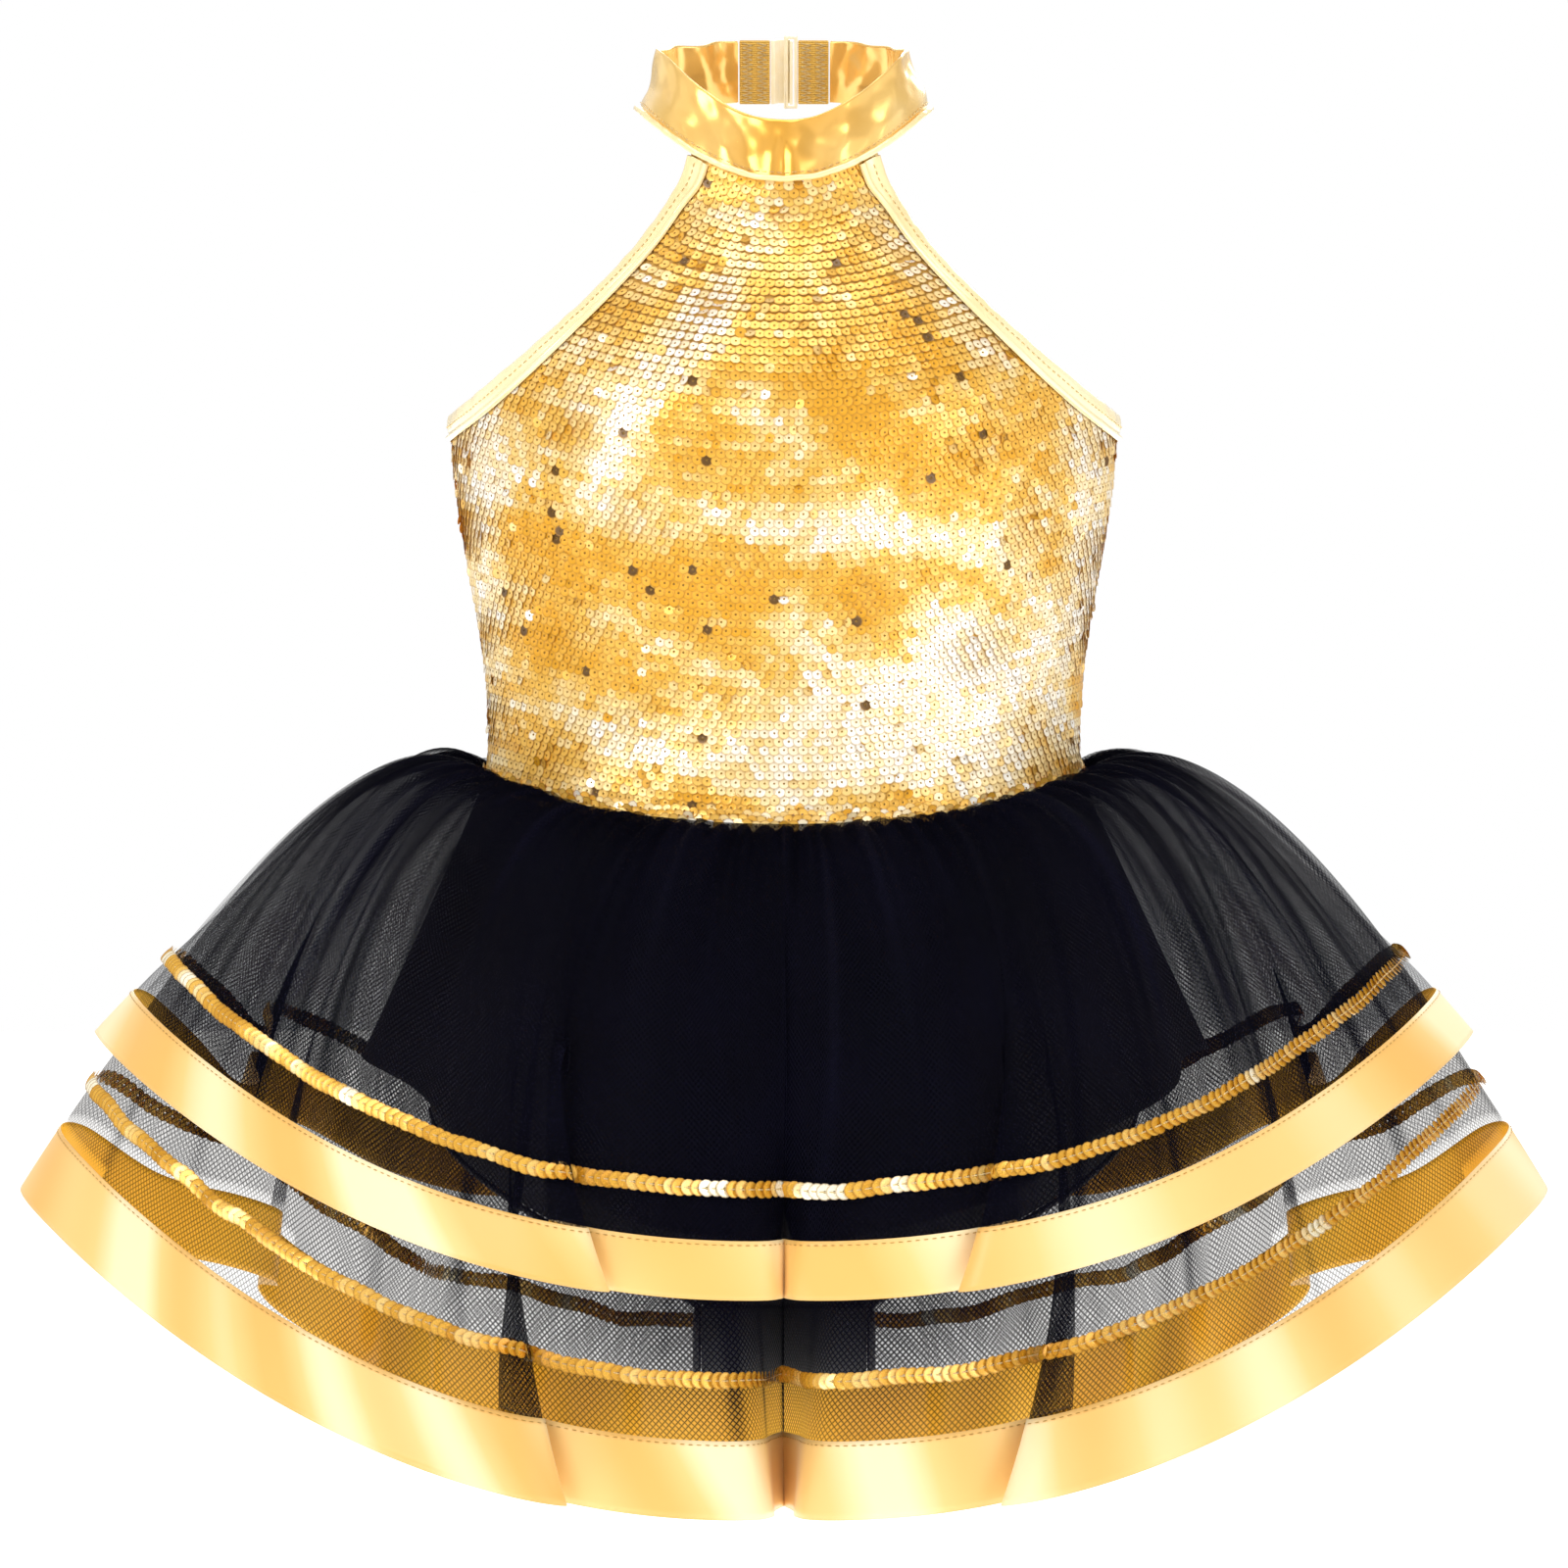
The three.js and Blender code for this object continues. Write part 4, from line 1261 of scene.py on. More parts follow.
    def binding_grid(self, edge: Callable, cloth_side: int, mirror: int, seed: int) -> Array:
        """Folded band along an edge: it turns over the edge and ends in a stitched ridge.

        Across the band the profile gives distance from the edge and height over the cloth;
        along it the height swells and puckers a little.
        """
        form = self.form
        profile = smooth_path([
            (6.5, -0.3), (3.2, -0.35), (0.9, -0.3), (-0.5, 0.5), (-0.9, 1.6), (-0.2, 2.8),
            (2.4, 3.3), (5.2, 3.0), (6.3, 2.7), (6.9, 3.5), (7.6, 4.0), (8.3, 3.5), (8.7, 2.3),
        ], False, 34)
        travel = np.linspace(0, 1, 260)
        step = 1e-3
        angle, z = edge(travel)
        before, after = edge(np.clip(travel - step, 0, 1)), edge(np.clip(travel + step, 0, 1))
        radius = np.linalg.norm(form.skin(angle + step, z) - form.skin(angle, z), axis=-1) / step
        run, rise = (after[0] - before[0]) * radius, after[1] - before[1]
        length = np.hypot(run, rise)
        distance = profile[:, :1] * cloth_side * self.binding_width / 8.0
        across_angle = angle - distance * rise / length / radius
        across_z = z + distance * run / length
        arc = run_along(form.skin(angle, z))
        pucker = 0.16 * waves(arc, np.zeros_like(arc), seed, 9.0) * np.sin(
            np.linspace(0, HALF, len(profile)))[:, None]
        height = profile[:, 1:] + pucker * (profile[:, 1:] > 1)
        ceiling = form.collar_seam(across_angle) - 0.4
        grid = form.point(mirror * across_angle, np.minimum(across_z, ceiling), height)
        return grid if mirror * cloth_side > 0 else grid[:, ::-1]

    def build_bindings(self) -> None:
        """The three bindings, and the topstitching beside each ridge."""
        for name, edge, side, mirror, seed in (
            ("armhole_binding_left", self.armhole_edge, 1, 1, 41),
            ("armhole_binding_right", self.armhole_edge, 1, -1, 42),
            ("back_binding", self.neckline, -1, 1, 43),
        ):
            grid = self.binding_grid(edge, side, mirror, seed)
            face = grid[::-1]
            piece = cloth_object(f"{name}_cloth", face, material(Finish.EDGING))
            outward(piece)
            place(piece, "foil_cloth", [name])
            self.declare_strip(grid)
            line = grid[23]
            place(stitch_row(f"{name}_stitches", line, surface_lift(grid, 23), 2.6, 1.7, 0.22,
                             Finish.THREAD), "foil_cloth")

    def declare_strip(self, grid: Array) -> None:
        """Works out a binding's length and full width as a folded strip, and keeps neither."""
        length = float(run_along(grid).mean(axis=0)[-1]) * MM
        width = float(run_along(np.swapaxes(grid, 0, 1)).mean(axis=0)[-1]) * MM


def outward(piece: bpy.types.Object) -> None:
    """Turns an open band's faces so that they look away from the body's axis on the whole."""
    normals = np.empty(len(piece.data.polygons) * 3, dtype=np.float32)
    centres = np.empty_like(normals)
    piece.data.polygons.foreach_get("normal", normals)
    piece.data.polygons.foreach_get("center", centres)
    normals, centres = normals.reshape(-1, 3), centres.reshape(-1, 3)
    away = centres * np.array([1.0, 1.0, 0.0])
    if float(np.sum(normals * away)) < 0:
        piece.data.flip_normals()


def surface_lift(grid: Array, row: int) -> Array:
    """Unit directions away from the body's axis at one row of a grid."""
    normals = surface_normals(grid, False)[row]
    away = unit(grid[row] * np.array([1.0, 1.0, 0.0]))
    return np.where(np.sum(normals * away, axis=1, keepdims=True) < 0, -normals, normals)


def stitch_row(
    name: str, line: Array, lift: Array, pitch: float, length: float, radius: float, finish: Finish,
) -> bpy.types.Object:
    """Running stitches: one small pillow-shaped bar per stitch, laid end to end along a line.

    Args:
        name: name of the piece.
        line: the line that is sewn.
        lift: outward direction at each place of the line.
        pitch: distance from stitch to stitch.
        length: length of one stitch.
        radius: half thickness of the thread.
        finish: finish of the thread.
    """
    run = run_along(line)
    centres = np.arange(pitch, run[-1] - pitch, pitch)

    def sample(values: Array) -> Array:
        """Values along the line at the evenly spaced places."""
        return np.stack([np.interp(centres, run, values[:, k]) for k in range(3)], axis=1)

    origin, normal = sample(line), unit(sample(lift))
    tangent = unit(sample(np.gradient(line, axis=0)))
    turn = np.linspace(0, FULL, 6, endpoint=False)
    rings = [(-0.5, 0.25), (-0.28, 1.0), (0.28, 1.0), (0.5, 0.25)]
    bar = np.vstack([np.stack([np.full(6, length * x), radius * s * np.cos(turn),
                               radius * s * np.sin(turn)], axis=1) for x, s in rings])
    sides = grid_faces(4, 6, True)
    caps = np.array([[5, 4, 1, 0], [4, 3, 2, 1], [18, 19, 22, 23], [19, 20, 21, 22]])
    return scatter(name, (bar, np.vstack([sides, caps])), origin + normal * radius, normal, tangent,
                   np.ones(len(origin)), np.full(len(origin), 0.5), material(finish))


# ---------------------------------------------------------------------- collar
@dataclass
class Collar:
    """Foil collar: band, facing, piping, elastic ends and clasp.

    Attributes:
        form: body form with its seam lines.
        height: upright height of the band.
        top_width, top_front, top_back: half sizes of the top edge.
        end_span: half of the gap that the elastic ends fill.
    """

    form: BodyForm
    height: float = 22.0
    top_width: float = 44.0
    top_front: float = 39.0
    top_back: float = 39.0
    end_span: float = 16.6
    layers: Layers = Layers()

    def skin(self, angle: Array, share: Array) -> Array:
        """Cone between the collar seam and the top edge; share 0 is the seam."""
        form = self.form
        width = mix(form.widths[-1], self.top_width, share)
        depth = np.where(np.cos(angle) >= 0, mix(form.fronts[-1], self.top_front, share),
                         mix(form.backs[-1], self.top_back, share))
        z = form.collar_seam(angle) + share * self.height
        return np.stack(np.broadcast_arrays(width * np.sin(angle), -depth * np.cos(angle), z),
                        axis=-1)

    def creases(self, angle: Array, share: Array, seed: int) -> Array:
        """Depth of the creases: pinches that fan up from the throat, and slack folds behind.

        Near the centre front, ridges whose spacing widens toward the top edge; elsewhere long
        slanting folds; all fade to nothing at the seam.
        """
        arc = angle * 50.0
        near = np.exp(-((arc / 26.0) ** 2))
        fan = np.sin(np.abs(arc) / mix(2.6, 4.6, share) + 1.2 * share)
        pinch = 1.6 * near * fan * np.sin(HALF * np.clip(share * 0.8 + 0.1, 0, 1))
        slack = 1.2 * waves(arc, share * self.height * 1.6, seed, 34.0, 5)
        behind = np.clip((np.abs(angle) - 1.7) * 2, 0, 1)
        drapes = 1.3 * behind * np.sin(np.abs(arc) / 3.6 + 3.4 * share)
        fine = 0.1 * waves(arc, share * self.height * 1.5, seed + 1, 11.0)
        return pinch + (slack * (1 - 0.6 * near) + drapes + fine) * np.clip(share * 3, 0.12, 1)

    def grid(self, offset: float, seed: int, rows: int = 26, columns: int = 420) -> Array:
        """Band surface between the two elastic ends."""
        v = np.linspace(0, 1, rows)[:, None]
        end = HALF - np.arcsin((self.end_span + 0.2) / mix(self.form.widths[-1], self.top_width, v))
        angle = np.linspace(-1, 1, columns)[None, :] * end
        share = np.broadcast_to(v, angle.shape)
        base = self.skin(angle, share)
        normal = surface_normals(base, False)
        steady = np.clip((end - np.abs(angle)) * 8, 0, 1)
        depth = offset + self.creases(angle, share, seed) * steady
        return base + depth[..., None] * normal

    def build_band(self) -> None:
        """Outer band, inner facing, the rolled top edge between them and the piping."""
        outer = self.grid(self.layers.collar, 51)
        inner = self.grid(self.layers.collar - 1.2, 51)
        roll = []
        for turn in np.linspace(0.25, 0.75, 3):
            middle = mix(outer[-1], inner[-1], turn)
            roll.append(middle + np.array([0, 0, 0.5 * math.sin(HALF * turn)]))
        band = np.concatenate([outer, np.stack(roll), inner[::-1][:4]])
        piece = cloth_object("collar_band_foil", band, material(Finish.FOIL))
        place(piece, "foil_cloth", ["collar_band"])
        width = float(run_along(outer).max()) * MM
        facing = self.grid(0.5, 51)[:, ::-1]
        piece = cloth_object("collar_facing_foil", facing, material(Finish.FOIL))
        place(piece, "foil_cloth", ["collar_facing"])
        seam = self.grid(3.1, 52, rows=3)[0]
        path = smooth_path(seam[::6], False, 520)
        arc = run_along(path)
        path[:, 2] += 0.3 + 0.12 * waves(arc, arc * 0, 53, 12.0)
        radius = 1.15 + 0.08 * waves(arc, arc * 0, 54, 5.0)
        place(tube_object("collar_piping_cord", path, radius, material(Finish.EDGING), 14),
              "foil_cloth", ["collar_piping"])
        ditch = self.grid(self.layers.collar + 0.15, 51)
        place(stitch_row("collar_stitches", ditch[3], surface_normals(ditch, False)[3], 2.8, 1.9,
                         0.16, Finish.THREAD), "foil_cloth")

    def build_ends(self) -> None:
        """Elastic ends with their zigzag stitching, each on its own body."""
        for side in ("left", "right"):
            node = f"collar_end_{side}"
            end = softened_copy(node, f"{node}_web", 0.45, material(Finish.ELASTIC))
            place(end, "elastic_web", [node], body=f"end_{side}")
            low, high = np.array(node_box(node))
            self.zigzags(side, low, high)

    def zigzags(self, side: str, low: Array, high: Array) -> None:
        """Two zigzag rows on each face of an elastic end.

        The rows run up the end's plane, which leans as the CAD end does; the needle swings from
        side to side at each step.
        """
        tilt = self.lean()
        middle_y, middle_z = (low[1] + high[1]) / 2, (low[2] + high[2]) / 2
        swings = 26
        up = np.linspace(-11.2, 11.2, swings)
        swing = np.where(np.arange(swings) % 2 == 0, 2.0, -2.0)
        for number, share in enumerate((0.26, 0.74)):
            for face, out in (("out", 0.95), ("in", -0.95)):
                x = mix(low[0], high[0], share) + swing
                path = np.stack([
                    x,
                    middle_y + out * math.cos(tilt) - up * math.sin(tilt),
                    middle_z + out * math.sin(tilt) + up * math.cos(tilt)], axis=1)
                run = run_along(path)
                fine = np.linspace(0, run[-1], swings * 6)
                line = np.stack([np.interp(fine, run, path[:, k]) for k in range(3)], axis=1)
                name = f"zigzag_{side}_{face}_{number}"
                piece = tube_object(name, line, 0.26, material(Finish.THREAD), 6)
                place(piece, "elastic_web", body=f"end_{side}")

    def lean(self) -> float:
        """Lean of the closure's plane: the band's back slopes in toward its top."""
        low = self.form.backs[-1] * math.cos(math.asin(self.end_span / self.form.widths[-1]))
        high = self.top_back * math.cos(math.asin(self.end_span / self.top_width))
        return math.atan2(low - high, self.height)

    def build_clasp(self) -> None:
        """Hook and loop: the CAD's own shapes with softened edges."""
        for node, body in (("clasp_hook", "hook"), ("clasp_loop", "loop")):
            piece = softened_copy(node, f"{node}_moulded", 0.28, material(Finish.CLASP))
            place(piece, "clasp_plastic", [node], body=body)


def softened_copy(node: str, name: str, radius: float,
                  finish: bpy.types.Material) -> bpy.types.Object:
    """A copy of a CAD node, its triangles joined and its edges rounded to a radius in mm."""
    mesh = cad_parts[node].data.copy()
    mesh.name = name
    work = bmesh.new()
    work.from_mesh(mesh)
    bmesh.ops.remove_doubles(work, verts=work.verts, dist=0.00002)
    bmesh.ops.dissolve_limit(work, angle_limit=math.radians(2), verts=work.verts, edges=work.edges)
    bmesh.ops.recalc_face_normals(work, faces=work.faces)
    work.to_mesh(mesh)
    work.free()
    mesh.materials.clear()
    mesh.materials.append(finish)
    mesh.polygons.foreach_set("use_smooth", np.ones(len(mesh.polygons), dtype=bool))
    piece = bpy.data.objects.new(name, mesh)
    bpy.context.scene.collection.objects.link(piece)
    bevel = piece.modifiers.new("edges", "BEVEL")
    bevel.width = radius * MM
    bevel.segments = 3
    bevel.limit_method = "ANGLE"
    bevel.harden_normals = True
    return piece


# ---------------------------------------------------------------------- skirt tiers
@dataclass
class Tier:
    """One gathered tulle tier, from the waist to its hem.

    Attributes:
        name: upper or lower.
        plan: hem line from the centre front round +X to the centre back, as x, y and the rise
            of the hem above its smooth line; the other half mirrors it.
        side_height, front_height, back_height: height of the hem at the side, in front and
            behind.
        width: half width over the side tips.
        length: length of the cloth from waist to hem.
        fullness: half depth of the smooth hem that the folds swing about.
        puff: how far the cloth springs up where it leaves the waist, as a share of its fall.
        front_curve: how soon the front leaves the body; larger is sooner.
        seed: number of its small folds.
        start: how far its top stands off the body.
        dense: how far its crowded middle closes the net.
        columns, rows: places round it and down it.
    """

    name: str
    form: BodyForm
    plan: Sequence[tuple[float, ...]]
    side_height: float
    front_height: float
    back_height: float
    width: float
    length: float
    fullness: float
    puff: float
    front_curve: float
    seed: int
    start: float = 3.4
    dense: float = 0.0
    columns: int = 1280
    rows: int = 60

    def hem_line(self) -> tuple[Array, Array]:
        """Hem as x, y and rise, evenly spaced, and the waist angle that each place hangs from.

        The angle runs evenly along each stretch between the centre front, the side tip and the
        centre back.
        """
        half = self.columns // 2
        corners = [(*corner, 0.0)[:3] for corner in self.plan]
        right = smooth_path(corners, False, half)
        run = run_along(right)
        tip = int(np.argmax(right[:, 0]))
        angle = np.interp(run, [0, run[tip], run[-1]], [0, QUARTER, HALF])
        left = right[1:-1][::-1] * np.array([-1.0, 1.0, 1.0])
        plan = np.vstack([right, left])
        return plan, np.concatenate([angle, FULL - angle[1:-1][::-1]])

    def fall(self, share: Array, sideness: Array) -> tuple[Array, Array]:
        """How far out and how far down the cloth is at a share of its length.

        In front it goes out early and falls steadily; at the side it goes out evenly, springs up
        over the seam and then falls.
        """
        front_out = 1 - (1 - share) ** self.front_curve
        side_out = 1.17 * share - 0.17 * share**2
        side_down = side_out**1.8 - self.puff * side_out * (1 - side_out) ** 3
        front_down = share**1.12 - 0.25 * self.puff * share * (1 - share) ** 5
        return mix(front_out, side_out, sideness), mix(front_down, side_down, sideness)

    def gathers(self, angle: Array, share: Array) -> Array:
        """Height of the small folds: tight at the waist, merging and fading toward the hem."""
        around = angle * 100.0
        tight = np.sin(angle * 96 + 1.5 * waves(around, around * 0, self.seed, 60.0))
        medium = waves(around, around * 0, self.seed + 1, 19.0, 9)
        broad = waves(around, around * 0, self.seed + 2, 42.0, 5)
        near = np.clip(share / 0.03, 0, 1)
        return near * (
            2.0 * tight * np.exp(-((share / 0.2) ** 2))
            + 3.4 * medium * np.sin(HALF * np.clip(share * 1.1 + 0.08, 0, 1)) ** 1.1
            + 3.4 * broad * np.sin(HALF * np.clip(share, 0, 1)) * (1 - 0.4 * share)
        )

    def grid(self, stand: float = 0.0, seed_shift: int = 0, end: float = 1.0) -> Array:
        """Tulle surface: rows climb from the hem to the waist, columns go round.

        Args:
            stand: distance outside the tier's own surface that grows from the waist to the hem.
            seed_shift: changes the small folds, for a second layer.
            end: share of the length where the rows begin, below 1 for a shorter layer.
        """
        form = self.form
        plan, angle = self.hem_line()
        share = np.linspace(end, 0, self.rows)[:, None] ** 1.0
        angle = angle[None, :]
        sideness = np.abs(np.sin(angle)) ** 2.2
        out, down = self.fall(share, sideness)
        waist = form.point(angle, form.waist_seam(angle) - 1.5, self.start)
        base = np.stack(np.broadcast_arrays(
            self.width * np.sin(angle), -self.fullness * np.cos(angle)), axis=-1)
        lean = np.clip(np.abs(plan[:, 0]) / self.width, 0, 1) ** 2.2
        middle = np.where(np.cos(angle) >= 0, self.front_height, self.back_height)
        hem_z = mix(middle, self.side_height, lean) + plan[None, :, 2]
        swing = (plan[None, :, :2] - base) * (share**1.5)[..., None]
        xy = mix(waist[..., :2], base, out[..., None]) + swing
        z = mix(waist[..., 2], hem_z, down)
        points = np.concatenate([xy, z[..., None]], axis=-1)
        seed, self.seed = self.seed, self.seed + seed_shift
        folds = self.gathers(angle, share)
        self.seed = seed
        normal = surface_normals(points, True)
        return points + (folds + stand * share)[..., None] * normal

    def fold_lines(self, rows: int, columns: int) -> Array:
        """Pressed creases that fan from the waist, some of them fading before the hem."""
        rng = np.random.default_rng(self.seed + 9)
        share = np.linspace(1, 0, rows)[:, None]
        place = np.linspace(0, FULL, columns, endpoint=False)[None, :]
        total = np.zeros((rows, columns))
        for start in rng.uniform(0, FULL, 90):
            drift, width, reach, depth = rng.uniform((-0.05, 0.006, 0.35, 0.2),
                                                     (0.05, 0.013, 1.1, 0.6))
            apart = np.angle(np.exp(1j * (place - start - drift * share**2)))
            total += depth * np.exp(-((apart / width) ** 2)) * np.clip((reach - share) * 4, 0, 1)
        return total

    def gather_values(self, points: Array, ribbon: float) -> Array:
        """Share by which gathering closes the net.

        It is high at the waist, in the middle and on steep small folds, and below 0, that is
        open, where the net lies behind its ribbon.

        Args:
            points: places of the tier.
            ribbon: width of the ribbon at its hem.
        """
        steps = np.linalg.norm(np.roll(points, -1, axis=1) - points, axis=-1)
        hem = steps[0].mean()
        crowd = np.clip(1 - steps / hem, 0, 1) ** 1.3
        normal = surface_normals(points, True)
        smooth = normal.copy()
        for shift in (1, 2, 4, 8, 12):
            smooth += np.roll(normal, shift, axis=1) + np.roll(normal, -shift, axis=1)
        steep = 1 - np.abs(np.sum(unit(smooth) * normal, axis=-1))
        above = run_along(np.swapaxes(points, 0, 1)).T - ribbon
        middle = np.exp(-((points[..., 0] / 95) ** 2)) * np.clip(above / 30, 0, 1)
        lines = self.fold_lines(*points.shape[:2])
        total = 0.3 * crowd + 1.6 * steep + lines + self.dense * (middle + 0.3)
        return np.where(above < -1.0, -1.0, np.clip(total, 0, 1))

    def hem_band(self, points: Array, low: float, high: float, rows: int, lift: float) -> Array:
        """Band that lies on the tulle between two distances above the hem, in millimetres."""
        normal = surface_normals(points, True)
        height = np.swapaxes(run_along(np.swapaxes(points, 0, 1)), 0, 1)
        want = np.linspace(low, high, rows)
        index = np.array([np.interp(w, height.mean(axis=1), np.arange(len(points))) for w in want])
        below = np.clip(np.floor(index).astype(int), 0, len(points) - 2)
        t = (index - below)[:, None, None]
        surface = mix(points[below], points[below + 1], t)
        return surface + lift * unit(mix(normal[below], normal[below + 1], t))

    def net_area(self, points: Array) -> float:
        """Area of a grid that closes round, in square metres."""
        along = np.roll(points, -1, axis=1) - points
        up = points[1:] - points[:-1]
        return float(np.linalg.norm(np.cross(along[:-1], up), axis=-1).sum()) * MM * MM


@dataclass
class HemTrim:
    """Ribbon and strung sequins at a tier's hem.

    Attributes:
        tier: the tier that carries them.
        ribbon: width of the ribbon.
        above: distance from the ribbon's top to the sequins.
        radius: radius of a trim sequin.
        pitch: distance from sequin to sequin on their thread.
    """

    tier: Tier
    ribbon: float
    above: float
    radius: float = 3.1
    pitch: float = 3.2

    def build_ribbon(self, points: Array) -> None:
        """Satin ribbon over the hem with two selvedges, and its topstitching."""
        name = self.tier.name
        band = self.tier.hem_band(points, 0.0, self.ribbon, 12, 0.75)
        run = np.broadcast_to(run_along(band)[0], band.shape[:2])
        climb = np.linspace(0, 1, len(band))[:, None]
        # Painted sheen: broad bands of painted highlight and shade along the ribbon.
        sheen = 0.5 + 0.3 * waves(run + 12 * climb, 0 * run, self.tier.seed + 3, 70.0)
        piece = cloth_object(f"{name}_satin_ribbon", band, material(Finish.SATIN), True, 0.3,
                             {"sheen": sheen}, material(Finish.SATIN_BACK), True)
        place(piece, "satin_ribbon", [f"{name}_ribbon"])
        hem = np.vstack([band[0], band[0][:1]])
        length = float(run_along(hem)[-1]) * MM
        self.ribbon * MM
        line = self.tier.hem_band(points, self.ribbon - 1.6, self.ribbon - 1.6, 1, 0.8)[0]
        lift = surface_normals(points, True)[0]
        place(stitch_row(f"{name}_ribbon_stitches", line, lift, 3.0, 1.7, 0.17, Finish.SEWING),
              "satin_ribbon")

    def build_sequins(self, points: Array, seed: int) -> None:
        """Overlapping sequins strung flat on a thread along the tier."""
        name = self.tier.name
        rng = np.random.default_rng(seed)
        line = self.tier.hem_band(points, self.ribbon + self.above, self.ribbon + self.above,
                                  1, 1.6)[0]
        line = smooth_ring(line, 5)
        loop = np.vstack([line, line[:1]])
        normals = surface_normals(points, True)
        row = int(np.argmin(np.abs(
            run_along(np.swapaxes(points, 0, 1)).mean(axis=0) - self.ribbon - self.above)))
        calm = unit(smooth_ring(normals[row], 10))
        lift = np.vstack([calm, calm[:1]])
        run = run_along(loop)
        wander = 0.5 * waves(run, run * 0, seed, 35.0)
        loop = loop + wander[:, None] * np.array([0.0, 0.0, 1.0])
        centres = np.arange(0, run[-1] - self.pitch, self.pitch)
        centres = centres + rng.normal(0, 0.18, len(centres))

        def sample(values: Array) -> Array:
            """Values along the loop at the sequins' places."""
            return np.stack([np.interp(centres, run, values[:, k]) for k in range(3)], axis=1)

        origin, normal = sample(loop), unit(sample(lift))
        tangent = unit(sample(np.gradient(loop, axis=0)))
        across = np.cross(normal, tangent)
        slow = waves(centres, centres * 0, seed + 1, 30.0)
        sway = 0.1 * slow + rng.normal(0, 0.05, len(centres))
        facing = unit(normal + (0.24 + 0.03 * slow)[:, None] * tangent + sway[:, None] * across)
        # Painted glints: short runs of trim sequins are painted up to the highlight; the rest of
        # their painted light changes slowly along the thread, with scatter.
        painted_glint = np.clip(waves(centres, centres * 0, seed + 2, 24.0) - 0.9, 0, 1)
        painted_light = np.clip(0.34 + 0.16 * slow + painted_glint + rng.normal(0, 0.12, len(centres)), 0.06, 1)
        shape = sequin_shape(self.radius, 0.5, 0.22, 14)
        piece = scatter(f"{name}_trim_sequins", shape, origin, facing, tangent,
                        rng.uniform(0.93, 1.04, len(centres)), painted_light, material(Finish.TRIM))
        place(piece, "sequin_trim", [f"{name}_sequin_trim"])
        thread = smooth_path(loop[:-1][::2], True, 1500)
        thread = thread + 0.25 * unit(thread * np.array([1.0, 1.0, 0.0]))
        place(tube_object(f"{name}_trim_thread", thread, 0.28, material(Finish.THREAD), 5, True),
              "sequin_trim")


